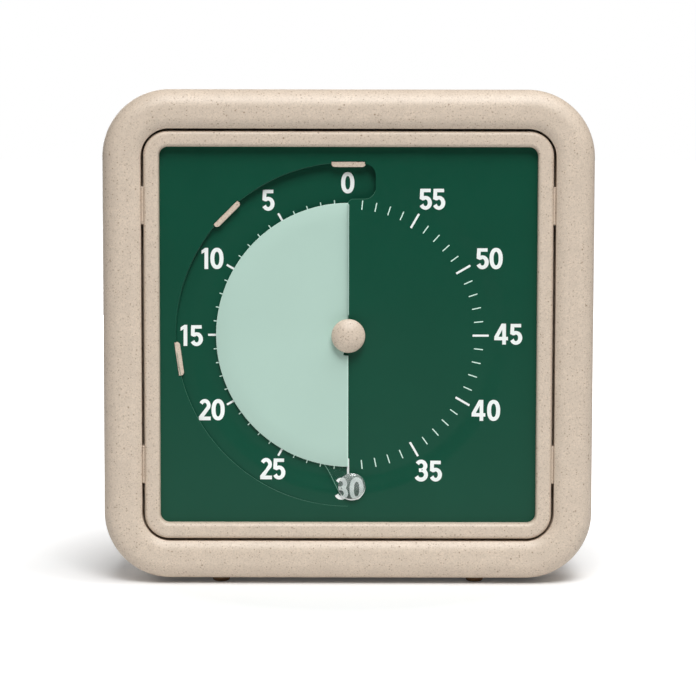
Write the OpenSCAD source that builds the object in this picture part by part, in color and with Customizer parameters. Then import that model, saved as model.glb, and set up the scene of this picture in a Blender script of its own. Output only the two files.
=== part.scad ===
// Visual countdown timer: a square desk timer whose coloured disc shows the minutes left.
// Every sub-part is modelled with the case lying on its back and is then stood up by stand_up():
// x is to the right seen from the front, y is up the dial and z is towards the viewer.
// Angles on the dial run counter-clockwise from 12 o'clock, as the minutes do.

/* [Case] */
// Width and height of the square case
case_size = 190; // [187:1:210]
// Depth of the case, from the front of the frame to the back of the cover
case_depth = 45; // [44:0.5:60]
// Radius of the case's corners, seen from the front
case_corner_r = 26; // [25:0.5:30]
// Wall of the frame and of the rear cover
wall = 2.5; // [2:0.1:3]
// Width of the frame's front band
frame_band = 15; // [15:0.5:16]
// Radius of the frame's outer front edge
frame_outer_round = 7; // [5:0.5:9]
// Radius of the frame's inner front edge
frame_inner_round = 3; // [1.5:0.25:4]
// Wall that turns back round the frame's opening
return_wall = 2.2; // [1.6:0.1:2.4]
// Depth of the frame, from its front to the parting line
frame_depth = 24.5; // [22:0.5:26]
// Radius of the rear cover's back edge
rear_round = 6; // [4:0.5:8]
// Height of the lip on which the frame and the rear cover meet
lip_height = 3; // [2:0.25:4]
// Thickness of that lip
lip_t = 1.3; // [1:0.1:1.6]
// Clearance between parts that slip into each other
slip = 0.15; // [0.1:0.05:0.2]

/* [Bezel] */
// Gap between the frame and the bezel
bezel_gap = 1; // [0.8:0.1:1.5]
// Width of the bezel's band
bezel_band = 6; // [5:0.25:6.5]
// Radius of the bezel's outer corners
bezel_corner_r = 9.5; // [8.5:0.25:11]
// Radius of the bezel's front edges
bezel_round = 1.3; // [0.8:0.1:1.8]
// Depth of the bezel's front behind the frame's front
bezel_drop = 2; // [1.5:0.1:3]
// Height of the bezel's front above the dial
bezel_height = 4; // [3:0.25:5]
// Thickness of the bezel's skirt round the dial plate
bezel_skirt = 2; // [1.6:0.1:2.2]
// Length of each of the four snap tongues
tongue_length = 14.7; // [10:0.5:18]
// Distance of the snap tongues above and below the dial's centre
tongue_offset = 50.3; // [40:0.5:52]
// Depth of a snap tongue's nose in the frame's window
tongue_nose = 1.2; // [0.8:0.1:1.5]

/* [Dial] */
// Thickness of the dial plate's flat part
plate_t = 2; // [1.6:0.1:2.4]
// Thickness of the dial's helical ramp
dial_t = 1; // [0.8:0.05:1.1]
// Drop of the ramp below the flat part at minute 0
ramp_drop = 3.6; // [3.5:0.05:3.8]
// Drop of the dial's inner zone below the flat part at minute 30
inner_drop = 1.2; // [1.1:0.05:1.4]
// Outer radius of the ramp
recess_r = 66.8; // [66:0.2:67.5]
// Radius where the inner zone starts to rise to the flat part
zone_r = 54.8; // [54.4:0.1:55.4]
// Radial length of that rise
zone_rise = 8; // [6:0.5:9]
// Width of the pocket past minute 0
pocket_w = 10.5; // [9.8:0.1:12]
// Radius of the free edge between the slit and the pocket
pocket_r = 52.8; // [52.4:0.1:53]
// Radius of the pocket's corners
pocket_corner_r = 4.2; // [3:0.2:5]
// Wall of the skirt round the ramp and the pocket
skirt_t = 1.2; // [1:0.1:1.3]
// Radius of the hole round the hub
dial_hole_r = 6.3; // [6:0.1:6.4]
// Radius of the bottom-left corner of the lip over the slit
lip_corner_r = 1.8; // [1:0.1:2.5]

/* [Dial hooks] */
// Length of each hook's straight head
hook_length = 13.2; // [10:0.2:14]
// Width of a hook's head
hook_w = 2.1; // [1.8:0.1:2.2]
// Distance by which a hook's head reaches over the dial's recess
hook_reach = 0.5; // [0.3:0.1:0.6]
// Radius of the inner corners of a hook's head
hook_corner_r = 1.3; // [0.8:0.1:1.6]
// Thickness of a hook's head
hook_t = 1.4; // [1.2:0.1:1.6]
// Thickness of a hook's stem along the radius
hook_stem = 1; // [0.8:0.1:1.1]

/* [Disc] */
// Outer radius of the coloured disc
disc_r = 51.3; // [50:0.1:51.5]
// Thickness of the disc
disc_t = 0.5; // [0.4:0.05:0.6]
// Distance that the disc climbs in one turn
disc_climb = 2.3; // [2.2:0.05:2.4]
// Height of the disc's back above the inner zone's end when no time is set
disc_low = -1.9; // [-1.95:0.05:-1.85]
// Angle of the gap between the disc's two ends
disc_gap_angle = 2; // [1:0.5:4]
// Radius of the relief notch beside the hub
notch_r = 7.9; // [7.4:0.1:9]
// Angle of that notch
notch_angle = 14; // [8:1:20]

/* [Clear tab] */
// Thickness of the tab's sheet
tab_t = 0.5; // [0.4:0.05:0.6]
// Height of the sheet above the disc's back at the leading edge
tab_rise = 1; // [0.95:0.05:1.1]
// Inner radius of the riser between the disc and the sheet
tab_riser_r = 53.4; // [53.3:0.1:53.6]
// Radial thickness of that riser
tab_riser_t = 0.8; // [0.6:0.1:0.9]
// Angle of the tab behind the disc's leading edge
tab_angle = 8; // [7:0.5:8]
// Radius of the magnifying dome, seen from the front
bubble_r = 5.3; // [4.5:0.1:5.3]
// Height of the dome above the sheet
bubble_h = 1.6; // [1:0.1:2]
// Gap between the dome and the bezel's opening
bubble_gap = 8.6; // [8.4:0.1:8.8]
// Angle of the dome ahead of the leading edge
bubble_lead = 1.4; // [0:0.1:2]

/* [Knob and spindle] */
// Diameter of the setting knob
knob_d = 13.1; // [12.8:0.1:14]
// Height of the knob
knob_h = 3.6; // [2.6:0.1:3.8]
// Height of the knob's straight rim
knob_rim = 1; // [0.6:0.1:1.4]
// Diameter of the hub on which the disc rides
hub_d = 10.4; // [9:0.1:10.8]
// Radial running clearance of the disc, the spindle and the pivots
running = 0.05; // [0.03:0.01:0.08]
// Diameter of the spindle
spindle_d = 5; // [4:0.1:5.4]
// Diameter of the spindle's rear pivot
spindle_pivot_d = 2; // [1.4:0.1:2.2]
// Wall of the bush round the spindle
bush_wall = 2; // [1.5:0.1:2.5]
// Height of the bush's flange above the movement
bush_flange_h = 1.5; // [1:0.1:1.6]

/* [Movement] */
// Width and height of the movement's housing
housing_size = 60; // [58:1:62]
// Depth of the movement's housing
housing_depth = 16; // [16:0.25:17]
// Wall of the housing
housing_wall = 1.5; // [1.2:0.1:1.6]
// Depth of the front housing shell
housing_front_depth = 8; // [7:0.25:9]
// Module of the gear teeth, in a housing of the nominal size
gear_module = 0.4; // [0.38:0.01:0.41]
// Thickness of each wheel
wheel_t = 1; // [0.8:0.1:1.2]
// Diameter of the wheels' arbors
arbor_d = 1.6; // [1.4:0.1:1.7]
// Diameter of the wheels' pivots
pivot_d = 1.2; // [1:0.1:1.3]
// Diameter of the rotor's magnet, in a housing of the nominal size
magnet_d = 6; // [5:0.1:6.4]
// Height of the rotor's magnet
magnet_h = 3; // [2.4:0.1:3]
// Radial air gap between the magnet and the stator
air_gap = 0.6; // [0.4:0.05:0.8]
// Thickness of the stator and of the coil's core
lamination_t = 1; // [0.8:0.1:1.1]
// Radius of the coil's winding, in a housing of the nominal size
coil_r = 3.3; // [2.8:0.1:3.4]

/* [Battery bay] */
// Diameter of the AA cell
cell_d = 14.2; // [14:0.1:14.5]
// Length of the AA cell without its positive button
cell_length = 49.2; // [48.8:0.1:49.4]
// Distance of the bay below the dial's centre
bay_drop = 48; // [47:0.5:52]
// Length of the bay
bay_length = 58; // [57.5:0.25:60]
// Clearance of the cell in the bay
cell_clearance = 0.5; // [0.4:0.05:0.7]
// Thickness of the battery door
door_t = 1.6; // [1.4:0.1:1.7]
// Length of the battery door
door_length = 66; // [65:0.5:70]
// Travel of the battery door
door_travel = 6; // [4:0.5:8]
// Width of the tongues along the door's long edges
door_tongue = 1; // [0.8:0.1:1.2]
// Thickness of the contact strips
contact_t = 0.4; // [0.3:0.05:0.5]
// Thickness of the circuit board
board_t = 1.6; // [1.2:0.1:1.8]

/* [Alert switch] */
// Distance of the switch to the right of the dial's centre
switch_x = 47.5; // [47:0.5:52]
// Travel of the switch
switch_travel = 4; // [3:0.25:5]

/* [Fixings] */
// Diameter of the rear cover's screws
case_screw_d = 3; // [2.6:0.1:3.2]
// Radius of the posts that take those screws
post_r = 4.2; // [4:0.1:4.3]
// Diameter of the movement's and the board's screws
small_screw_d = 2; // [1.8:0.1:2.2]
// Radius of the hanging hole's round end
hanger_r = 4.5; // [4:0.1:5]
// Length of the hanging hole's slot
hanger_slot = 9; // [8:0.5:12]

/* [Feet] */
// Radius of each rubber foot
foot_r = 3.4; // [3:0.1:4]
// Height of each foot below the case
foot_h = 2; // [1.6:0.1:2.4]
// Distance between the left and the right feet
foot_spacing = 99.3; // [90:0.1:110]
// Radius of a foot's stem
foot_stem_r = 1.5; // [1.2:0.1:1.8]

/* [Hidden] */
$fn = 96;

// A cut passes this far through a surface, so that no skin is left.
eps = 0.5;

// Levels along the depth
front_z = case_depth / 2;
back_z = -case_depth / 2;
parting_z = front_z - frame_depth;
bezel_front_z = front_z - bezel_drop;
face_z = bezel_front_z - bezel_height;
ledge_z = face_z - plate_t;
ramp_floor_z = face_z - ramp_drop - dial_t;
chassis_t = 1.8;
chassis_front_z = ramp_floor_z - 1.6;
chassis_back_z = chassis_front_z - chassis_t;
housing_front_z = chassis_back_z;
housing_back_z = housing_front_z - housing_depth;
housing_split_z = housing_front_z - housing_front_depth;

// Outlines seen from the front
case_reach = case_size / 2 - case_corner_r;
opening_x = case_corner_r - frame_band;
bezel_size = case_size - 2 * frame_band - 2 * bezel_gap;
bezel_reach = bezel_size / 2 - bezel_corner_r;
bezel_inner_x = bezel_corner_r - bezel_band;
bubble_reach = bezel_size / 2 - bezel_band - bubble_gap - bubble_r;
plate_margin = bezel_skirt + 0.4;
plate_size = bezel_size - 2 * plate_margin;
ledge_margin = bezel_skirt + 2.5;
flange_margin = wall + 1.5;
window_slack = 1;

// The disc stands at half its time, so half of its climb is behind it.
rest_angle = 180;
disc_rest = disc_low + disc_climb * rest_angle / 360;
disc_arc = 360 - disc_gap_angle;
disc_steps = 72;
dial_step = 5;
hook_head_z = face_z - 0.2;

// Knob, hub and spindle
hub_r = hub_d / 2;
knob_r = knob_d / 2;
spindle_r = spindle_d / 2;
bush_r = spindle_r + bush_wall;
bush_top_z = housing_front_z + bush_flange_h;
hub_bottom_z = bush_top_z + 0.7;
hub_top_z = face_z + 1.4;
knob_grip = 1.6;

// Gear train: each wheel is driven by a pinion of pinion_teeth. The train and the motor grow
// with the housing.
housing_nominal = 60;
housing_scale = housing_size / housing_nominal;
tooth_module = gear_module * housing_scale;
pinion_teeth = 10;
output_teeth = 60;
third_teeth = 60;
second_teeth = 50;
output_z = housing_front_z - 4.5;
third_z = output_z - 2.6;
second_z = housing_back_z + housing_wall + 1.2;
pinion_overlap = 0.6;
pivot_length = 1;
third_angle = 230;
second_angle = 110;
rotor_angle = 60;
third_at = polar(mesh_distance(output_teeth), third_angle);
second_at = third_at + polar(mesh_distance(third_teeth), second_angle);
rotor_at = second_at + polar(mesh_distance(second_teeth), rotor_angle);

// Stepping motor
magnet_z = second_z + wheel_t + pinion_overlap + 0.6;
stator_z = magnet_z + 1;
magnet_r = magnet_d / 2 * housing_scale;
winding_r = coil_r * housing_scale;
stator_hole_r = magnet_r + air_gap;
stator_w = 2 * stator_hole_r + 4 * housing_scale;
stator_reach = 14 * housing_scale;
limb_w = 3;
core_y = rotor_at[1] + stator_w / 2 + winding_r + 1.2;
core_z = stator_z + lamination_t;
flange_t = 0.8;
bobbin_length = 2 * stator_reach - 2 * limb_w - 1;
bobbin_r = 2.3;
bobbin_flange_r = winding_r + 0.4;

// Movement fixings
ear_x = housing_size / 2 + 3;
ear_y = 20;
ear_r = 3;
ear_t = 1.5;
small_head_r = small_screw_d * 0.9;
small_head_t = 1.2;

// Battery bay and board
bay_w = cell_d + 2 * cell_clearance;
bay_wall = 1.5;
cell_z = back_z + door_t + 0.3 + cell_d / 2;
bay_floor_z = cell_z + cell_d / 2 + 0.2;
board_z = bay_floor_z + bay_wall;
cell_button = 1.3;
cell_button_r = 2.75;
cell_end_x = bay_length / 2 - contact_t - cell_button;
cell_back_x = cell_end_x - cell_length;
door_w = bay_w + 6;
door_slack = 0.2;
door_groove_t = 0.8;
board_w = 17;
board_left = -bay_length / 2 - 9;
board_right = switch_x + 6.5;
board_screw_left = board_left + 3;
board_screw_right = bay_length / 2 + bay_wall + 3.5;
contact_w = 10;
tab_w = 3;
board_post_r = 2.4;

// Alert switch
switch_slot_w = 3;
switch_head = 5;
switch_recess_t = 1.2;
switch_body_h = 3.5;
switch_body_w = 4.6;

// Buzzer
buzzer_at = [-52, 30];
buzzer_r = 11.5;
buzzer_h = 4;

// Rear cover fixings
post_at = (case_corner_r - wall - post_r - 0.7) * [cos(45), sin(45)] + [case_reach, case_reach];
case_head_r = case_screw_d * 0.9;
case_head_t = 1.8;
head_seat_z = chassis_back_z - 12;
hanger_y = 62;
foot_front_z = front_z - 11;
foot_rear_z = back_z + 6;
foot_flat_r = foot_r - 1.2;

function polar(r, a) = [r * cos(a), r * sin(a)];
function mesh_distance(teeth) = (teeth + pinion_teeth) * tooth_module / 2;

// A point on the dial: radius, angle counter-clockwise from 12 o'clock and level
function dial_spot(r, a) = [-r * sin(a), r * cos(a)];
function dial_point(r, a, z) = [-r * sin(a), r * cos(a), z];

// Level of the dial's inner zone above the flat part
function inner_level(a) =
    a < 180 ? -ramp_drop + (ramp_drop - inner_drop) * a / 180
            : -inner_drop + inner_drop * (a - 180) / 180;

// Level of the printed ring outside the inner zone
function ring_level(a) = a < 180 ? -ramp_drop * (1 - a / 180) : 0;

// Stands the lying model up on its feet.
module stand_up() {
    translate([0, 0, foot_h + case_size / 2]) rotate([90, 0, 0]) children();
}

// ---- Shapes that several sub-parts share ----

module rounded_square(side, r) {
    square([side - 2 * r, side], center = true);
    square([side, side - 2 * r], center = true);
    for (x = [-1, 1], y = [-1, 1])
        translate([x, y] * (side / 2 - r)) circle(r);
}

module rounded_plate(side, r, z0, z1) {
    translate([0, 0, z0]) linear_extrude(z1 - z0) rounded_square(side, r);
}

// Sweeps a profile round a square with round corners. The profile's x is measured from
// the corner's centre outwards, and its y is the level along the depth.
module ring_sweep(reach) {
    for (turn = [0:90:270])
        rotate(turn) translate([reach, reach, 0]) {
            rotate_extrude(angle = 90) children();
            rotate([90, 0, 0]) linear_extrude(2 * reach) children();
        }
}

// A bar's section between x0 and x1, with its two upper edges rounded
module rounded_bar(x0, x1, z0, z1, inner_r, outer_r) {
    translate([x0, z0]) square([x1 - x0 - outer_r, z1 - inner_r - z0]);
    translate([x0 + inner_r, z0]) square([x1 - x0 - inner_r, z1 - outer_r - z0]);
    translate([x0 + inner_r, z0]) square([x1 - x0 - inner_r - outer_r, z1 - z0]);
    translate([x1 - outer_r, z1 - outer_r]) circle(outer_r);
    translate([x0 + inner_r, z1 - inner_r]) circle(inner_r);
}

// A cylinder between two levels
module post(r, z0, z1) {
    translate([0, 0, z0]) cylinder(r = r, h = z1 - z0);
}

module at_corners() {
    for (turn = [0:90:270]) rotate(turn) translate(post_at) children();
}

module at_ears() {
    for (x = [-1, 1], y = [-1, 1]) translate([x * ear_x, y * ear_y]) children();
}

// A solid through a list of closed sections, each a list of an even number of points
module loft(sections) {
    n = len(sections[0]);
    last = len(sections) - 1;
    sides = [
        for (s = [0:last - 1], i = [0:n - 1])
            let (a = s * n + i, b = s * n + (i + 1) % n)
            each [[a, b, a + n], [b, b + n, a + n]]
    ];
    // each end is closed by strips between the section's two halves
    start = [for (i = [0:n / 2 - 2]) [n - 1 - i, n - 2 - i, i + 1, i]];
    end = [for (i = [0:n / 2 - 2]) [i, i + 1, n - 2 - i, n - 1 - i] + last * n * [1, 1, 1, 1]];
    polyhedron([for (s = sections) each s], concat(sides, start, end));
}

// A screw: round head with a cross slot, then its shank towards the viewer
module screw(d, head_r, head_t, seat_z, tip_z) {
    difference() {
        union() {
            post(head_r, seat_z - head_t, seat_z);
            post(d / 2, seat_z, tip_z);
        }
        translate([0, 0, seat_z - head_t]) {
            cube([head_r * 1.2, d * 0.25, head_t], center = true);
            cube([d * 0.25, head_r * 1.2, head_t], center = true);
        }
    }
}

// ---- Case ----

module frame_profile() {
    difference() {
        rounded_bar(opening_x, case_corner_r, parting_z, front_z, frame_inner_round, frame_outer_round);
        rounded_bar(opening_x + return_wall, case_corner_r - wall, parting_z - eps, front_z - wall,
            0.6, frame_outer_round - wall);
        translate([opening_x - eps, parting_z - eps])
            square([return_wall + 2 * eps, chassis_front_z - parting_z + eps]);
    }
}

module outer_frame() {
    boss_r = case_screw_d / 2 + 2;
    window_z = ledge_z - 2.5;
    color("#d7c6b2") stand_up() difference() {
        union() {
            ring_sweep(case_reach) frame_profile();
            at_corners() post(boss_r, chassis_front_z, front_z - wall + 0.2);
        }
        at_corners() post(case_screw_d / 2, chassis_front_z - eps, chassis_front_z + 8);
        // windows in the return wall for the bezel's snap tongues
        for (side = [-1, 1], y = [-1, 1])
            translate([side * (case_reach + opening_x + return_wall / 2), y * tongue_offset, window_z])
                translate([0, 0, 2]) cube([return_wall + 2 * eps, tongue_length + 2 * window_slack, 4],
                    center = true);
        // sockets for the front pair of feet
        foot_sockets(foot_front_z);
    }
}

module bezel_profile() {
    rounded_bar(bezel_inner_x, bezel_corner_r, face_z, bezel_front_z, bezel_round, bezel_round);
    translate([bezel_corner_r - bezel_skirt, ledge_z])
        square([bezel_skirt, bezel_front_z - bezel_round - ledge_z]);
}

module bezel() {
    tongue_top = bezel_front_z - 1.5;
    tongue_bottom = ledge_z - 2.2;
    nose_h = 2.6;
    color("#d7c6b2") stand_up() {
        ring_sweep(bezel_reach) bezel_profile();
        for (side = [-1, 1], y = [-1, 1])
            scale([side, 1, 1]) translate([bezel_size / 2, y * tongue_offset, 0]) {
                translate([0, -tongue_length / 2, tongue_bottom])
                    cube([bezel_gap, tongue_length, tongue_top - tongue_bottom]);
                translate([0, -tongue_length / 2, tongue_bottom])
                    cube([bezel_gap + tongue_nose, tongue_length, nose_h]);
            }
    }
}

module chassis() {
    color("#cdbca6") stand_up() difference() {
        union() {
            rounded_plate(case_size - 2 * flange_margin, case_corner_r - flange_margin,
                chassis_back_z, chassis_front_z);
            // rim under the dial plate and the bezel
            difference() {
                rounded_plate(bezel_size, bezel_corner_r, chassis_front_z - 0.2, ledge_z);
                rounded_plate(bezel_size - 2 * ledge_margin, bezel_corner_r - ledge_margin,
                    chassis_front_z - 0.2 - eps, ledge_z + eps);
            }
            at_ears() post(ear_r, housing_split_z + ear_t, chassis_back_z);
            for (a = hook_angles()) hook(a);
        }
        post(bush_r + 5, chassis_back_z - eps, chassis_front_z + eps);
        at_corners() post(case_screw_d / 2 + slip, chassis_back_z - eps, chassis_front_z + eps);
        at_ears() post(small_screw_d / 2, housing_split_z, chassis_back_z);
    }
}

// ---- Dial ----

function hook_angles() = [0, 45, 98];

// The solid of an arc between two radii, centred on an angle of the dial
module arc_block(r0, r1, z0, z1, a, arc) {
    rotate(90 + a - arc / 2) rotate_extrude(angle = arc)
        translate([r0, z0]) square([r1 - r0, z1 - z0]);
}

// A hook's straight stem, grown by a clearance
module hook_stem_block(a, z0, z1, grow) {
    length = hook_length - 2 * hook_corner_r + 2 * grow;
    rotate(a) translate([-length / 2, recess_r + hook_reach - hook_w - grow, z0])
        cube([length, hook_stem + 2 * grow, z1 - z0]);
}

// A straight head with round inner corners, on its stem
module hook(a) {
    outer = recess_r + hook_reach;
    side = hook_length / 2 - hook_corner_r;
    inner = outer - hook_w + hook_corner_r;
    hook_stem_block(a, chassis_front_z - 0.2, hook_head_z, 0);
    rotate(a) translate([0, 0, hook_head_z - hook_t]) linear_extrude(hook_t) polygon(concat(
        [[-hook_length / 2, outer]],
        [for (t = [0:15:90]) [-side - hook_corner_r * cos(t), inner - hook_corner_r * sin(t)]],
        [for (t = [90:-15:0]) [side + hook_corner_r * cos(t), inner - hook_corner_r * sin(t)]],
        [[hook_length / 2, outer]]
    ));
}

// Section of the helical dial at one angle: its top from the rim to the hub, then its underside back
function dial_section(a, radii, levels) = concat(
    [for (i = [len(radii) - 1:-1:0]) dial_point(radii[i], a, face_z + levels[i])],
    [for (i = [0:len(radii) - 1]) dial_point(radii[i], a, face_z + levels[i] - dial_t)]
);

// The dial's section from the hub over the inner zone and its soft rise to the level of the ring
rise_steps = [0, 0.25, 0.75, 1];
function rise_radii(outer) = concat([dial_hole_r / 2], [for (t = rise_steps) zone_r + zone_rise * t], [outer]);
function rise_levels(inner, ring) = concat(
    [inner], [for (t = rise_steps) inner + (ring - inner) * t * t * (3 - 2 * t)], [ring]
);

module ramp() {
    radii = rise_radii(recess_r + skirt_t / 2);
    loft([for (a = [0:dial_step:180])
        dial_section(a, radii, rise_levels(inner_level(a), ring_level(a)))]);
}

module inner_rise() {
    radii = rise_radii(zone_r + zone_rise + 1.5);
    loft([for (a = [180:dial_step:360]) dial_section(a, radii, rise_levels(inner_level(a), 0))]);
}

// Outline of the pocket past minute 0, grown by a margin
module pocket_outline(grow) {
    r = pocket_corner_r + grow;
    right = pocket_w + grow;
    low = pocket_r - grow;
    high = recess_r - 0.5 + grow;
    translate([0, low + r]) square([right, high - low - 2 * r]);
    translate([0, low]) square([right - r, high - low]);
    translate([right - r, low + r]) circle(r);
    translate([right - r, high - r]) circle(r);
}

module dial_plate() {
    seam_r = zone_r + zone_rise + 0.8;
    skirt_z = ramp_floor_z;
    color("#1b5540") stand_up() difference() {
        union() {
            // flat part, open over the ramp, the inner zone and the pocket
            difference() {
                rounded_plate(plate_size, bezel_corner_r - plate_margin, ledge_z, face_z);
                post(seam_r, ledge_z - eps, face_z + eps);
                translate([0, 0, ledge_z - eps]) linear_extrude(plate_t + 2 * eps) {
                    intersection() {
                        circle(recess_r);
                        translate([-recess_r, -recess_r]) square([recess_r, 2 * recess_r]);
                    }
                    pocket_outline(0);
                }
            }
            // skirt that carries the ramp
            arc_block(recess_r, recess_r + skirt_t, skirt_z, face_z - plate_t / 2, 90, 180);
            // tray of the pocket, under the free edge of the slit
            difference() {
                union() {
                    translate([0, 0, skirt_z]) linear_extrude(dial_t) intersection() {
                        pocket_outline(skirt_t);
                        translate([0, pocket_r - 3]) square([2 * pocket_w, recess_r]);
                    }
                    translate([0, 0, skirt_z]) linear_extrude(face_z - plate_t / 2 - skirt_z)
                        difference() {
                            pocket_outline(skirt_t);
                            pocket_outline(0);
                            square([pocket_w - pocket_corner_r, pocket_r + 1]);
                        }
                }
                post(pocket_r - 0.2, skirt_z + dial_t, face_z);
            }
            ramp();
            difference() {
                inner_rise();
                translate([0, 0, ramp_floor_z]) linear_extrude(2 * ramp_drop) difference() {
                    pocket_outline(0);
                    circle(pocket_r);
                }
                // round corner between the slit and the pocket
                translate([0, pocket_r - lip_corner_r, ramp_floor_z]) linear_extrude(2 * ramp_drop)
                    difference() {
                        square(lip_corner_r);
                        translate([lip_corner_r, 0]) circle(lip_corner_r);
                    }
            }
        }
        post(dial_hole_r, ramp_floor_z - 2 * eps, face_z + eps);
        // slots for the stems of the chassis hooks, and notches for their heads
        for (a = hook_angles()) {
            hook_stem_block(a, ramp_floor_z - eps, face_z, slip);
            rotate(a) translate([-hook_length / 2 - slip, recess_r + hook_reach - hook_w - slip,
                hook_head_z - hook_t - slip])
                cube([hook_length + 2 * slip, hook_w + 2 * slip, hook_t + 2 * plate_t]);
        }
    }
}

// ---- Disc, tab and knob ----

// Level of the disc's back at an angle behind its leading edge, at rest
function disc_level(behind) = face_z + inner_level(360 - behind) + disc_rest;

function disc_section(behind) =
    let (a = rest_angle - behind, z = disc_level(behind), r0 = hub_r / 2, r1 = disc_r + 1) [
        dial_point(r1, a, z + disc_t), dial_point(r0, a, z + disc_t),
        dial_point(r0, a, z), dial_point(r1, a, z)
    ];

module countdown_disc() {
    color("#b7d5c8") stand_up() difference() {
        intersection() {
            loft([for (i = [disc_steps:-1:0]) disc_section(disc_arc * i / disc_steps)]);
            post(disc_r, ramp_floor_z, face_z + ramp_drop);
        }
        post(hub_r + running, ramp_floor_z - eps, face_z + 2 * ramp_drop);
        arc_block(0, notch_r, ramp_floor_z, face_z + ramp_drop, rest_angle - notch_angle / 2, notch_angle);
    }
}

module disc_tab() {
    low = face_z + disc_rest;
    sheet_z = low + tab_rise;
    riser_out = tab_riser_r + tab_riser_t;
    bubble_base = sheet_z + tab_t;
    rim_r = bubble_r + 0.4;
    sphere_r = (rim_r * rim_r + bubble_h * bubble_h) / (2 * bubble_h);
    // the riser stays clear of the pocket's round corner when no time is set
    corner_clearance = 0.3;
    riser_start = 1;
    riser_end = asin((pocket_w - pocket_corner_r - corner_clearance) / riser_out);
    riser_arc = riser_end - riser_start;
    middle = rest_angle - (riser_start + riser_end) / 2;
    // the sheet's trailing edge runs straight from its tail to where it touches the dome's outline
    bubble_at = dial_spot(bubble_reach, rest_angle + bubble_lead);
    tail = dial_spot(tab_riser_r, rest_angle - tab_angle);
    span = norm(bubble_at - tail);
    heading = atan2(bubble_at[1] - tail[1], bubble_at[0] - tail[0]) - asin(bubble_r / span);
    touch = tail + polar(sqrt(span * span - bubble_r * bubble_r), heading);
    color([0.8, 0.9, 0.9, 0.4]) stand_up() {
        // neck at the disc's level, bonded to its rim
        arc_block(disc_r, riser_out, low, low + disc_t, middle, riser_arc);
        arc_block(tab_riser_r, riser_out, low, sheet_z + tab_t / 2, middle, riser_arc);
        // sheet above the dial, from the riser to the dome
        translate([0, 0, sheet_z]) linear_extrude(tab_t) {
            difference() {
                polygon([
                    dial_spot(tab_riser_r, rest_angle), dial_spot(bubble_reach, rest_angle), touch, tail
                ]);
                circle(tab_riser_r + tab_riser_t / 4);
            }
            translate(bubble_at) circle(bubble_r);
        }
        // magnifying dome
        translate(bubble_at) intersection() {
            translate([0, 0, bubble_base + bubble_h - sphere_r]) sphere(sphere_r);
            post(bubble_r - 0.05, bubble_base - 0.2, bubble_base + 2 * bubble_h);
        }
    }
}

module disc_hub() {
    color("#e8e4dc") stand_up() difference() {
        post(hub_r, hub_bottom_z, hub_top_z);
        post(spindle_r, hub_bottom_z - eps, hub_top_z + eps);
    }
}

module setting_knob() {
    dome_h = knob_h - knob_rim;
    dome_r = (knob_r * knob_r + dome_h * dome_h) / (2 * dome_h);
    color("#d7c6b2") stand_up() difference() {
        union() {
            post(knob_r, hub_top_z, hub_top_z + knob_rim);
            intersection() {
                translate([0, 0, hub_top_z + knob_h - dome_r]) sphere(dome_r);
                post(knob_r, hub_top_z + knob_rim / 2, hub_top_z + 2 * knob_h);
            }
        }
        post(spindle_r, hub_top_z - eps, hub_top_z + knob_grip);
    }
}

// ---- Movement ----

module spindle() {
    collar_r = spindle_r + 0.6;
    collar_z = output_z - 0.6;
    color("silver") stand_up() {
        post(spindle_r, collar_z + 0.2, hub_top_z + knob_grip);
        post(collar_r, collar_z, output_z);
        post(spindle_pivot_d / 2, housing_back_z, collar_z + 0.2);
    }
}

// Flat spring that presses the output wheel on the spindle's collar, so that the knob can slip
module clutch_spring() {
    color("gold") stand_up() difference() {
        post(spindle_r + 1.5, output_z + wheel_t, output_z + wheel_t + 0.4);
        post(spindle_r, output_z, output_z + 2 * wheel_t);
    }
}

module spindle_bush() {
    color("#c9a24b") stand_up() difference() {
        union() {
            post(bush_r, output_z + wheel_t + 0.8, bush_top_z);
            post(bush_r + 2, housing_front_z, bush_top_z);
        }
        post(spindle_r + running, output_z, bush_top_z + eps);
    }
}

module movement_front_housing() {
    color("#efefe8") stand_up() difference() {
        union() {
            difference() {
                rounded_plate(housing_size, 3, housing_split_z, housing_front_z);
                rounded_plate(housing_size - 2 * housing_wall, 2, housing_split_z - eps,
                    housing_front_z - housing_wall);
            }
            for (x = [-1, 1], y = [-1, 1])
                translate([x * ear_x, y * ear_y, housing_split_z]) {
                    cylinder(r = ear_r, h = ear_t);
                    translate([x > 0 ? -ear_r : 0, -ear_r, 0]) cube([ear_r, 2 * ear_r, ear_t]);
                }
        }
        post(bush_r, housing_front_z - housing_wall - eps, housing_front_z + eps);
        train_pivots(housing_front_z - housing_wall - eps, housing_front_z - housing_wall + pivot_length);
        at_ears() post(small_screw_d / 2 + slip, housing_split_z - eps, housing_split_z + ear_t + eps);
    }
}

module movement_rear_housing() {
    lip_x = housing_size - 2 * housing_wall - 2 * slip;
    color("#efefe8") stand_up() difference() {
        union() {
            difference() {
                rounded_plate(housing_size, 3, housing_back_z, housing_split_z);
                rounded_plate(housing_size - 2 * housing_wall, 2, housing_back_z + housing_wall,
                    housing_split_z + eps);
            }
            // lip that slips into the front shell
            difference() {
                union() {
                    rounded_plate(lip_x, 2, housing_split_z - 3, housing_split_z + 1.2);
                    rounded_plate(housing_size - housing_wall, 2, housing_split_z - 3, housing_split_z);
                }
                rounded_plate(lip_x - 2, 1, housing_split_z - 3 - eps, housing_split_z + 1.2 + eps);
            }
            // rests for the stator
            for (x = [-1, 1])
                translate([rotor_at[0] + x * (stator_reach - limb_w / 2), rotor_at[1]])
                    post(1.2, housing_back_z + housing_wall / 2, stator_z);
        }
        post(spindle_pivot_d / 2 + running, housing_back_z - eps, housing_back_z + housing_wall + eps);
        train_pivots(housing_back_z + housing_wall - pivot_length, housing_back_z + housing_wall + eps);
    }
}

module train_pivots(z0, z1) {
    for (at = [third_at, second_at, rotor_at])
        translate(at) post(pivot_d / 2 + running, z0, z1);
}

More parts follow.
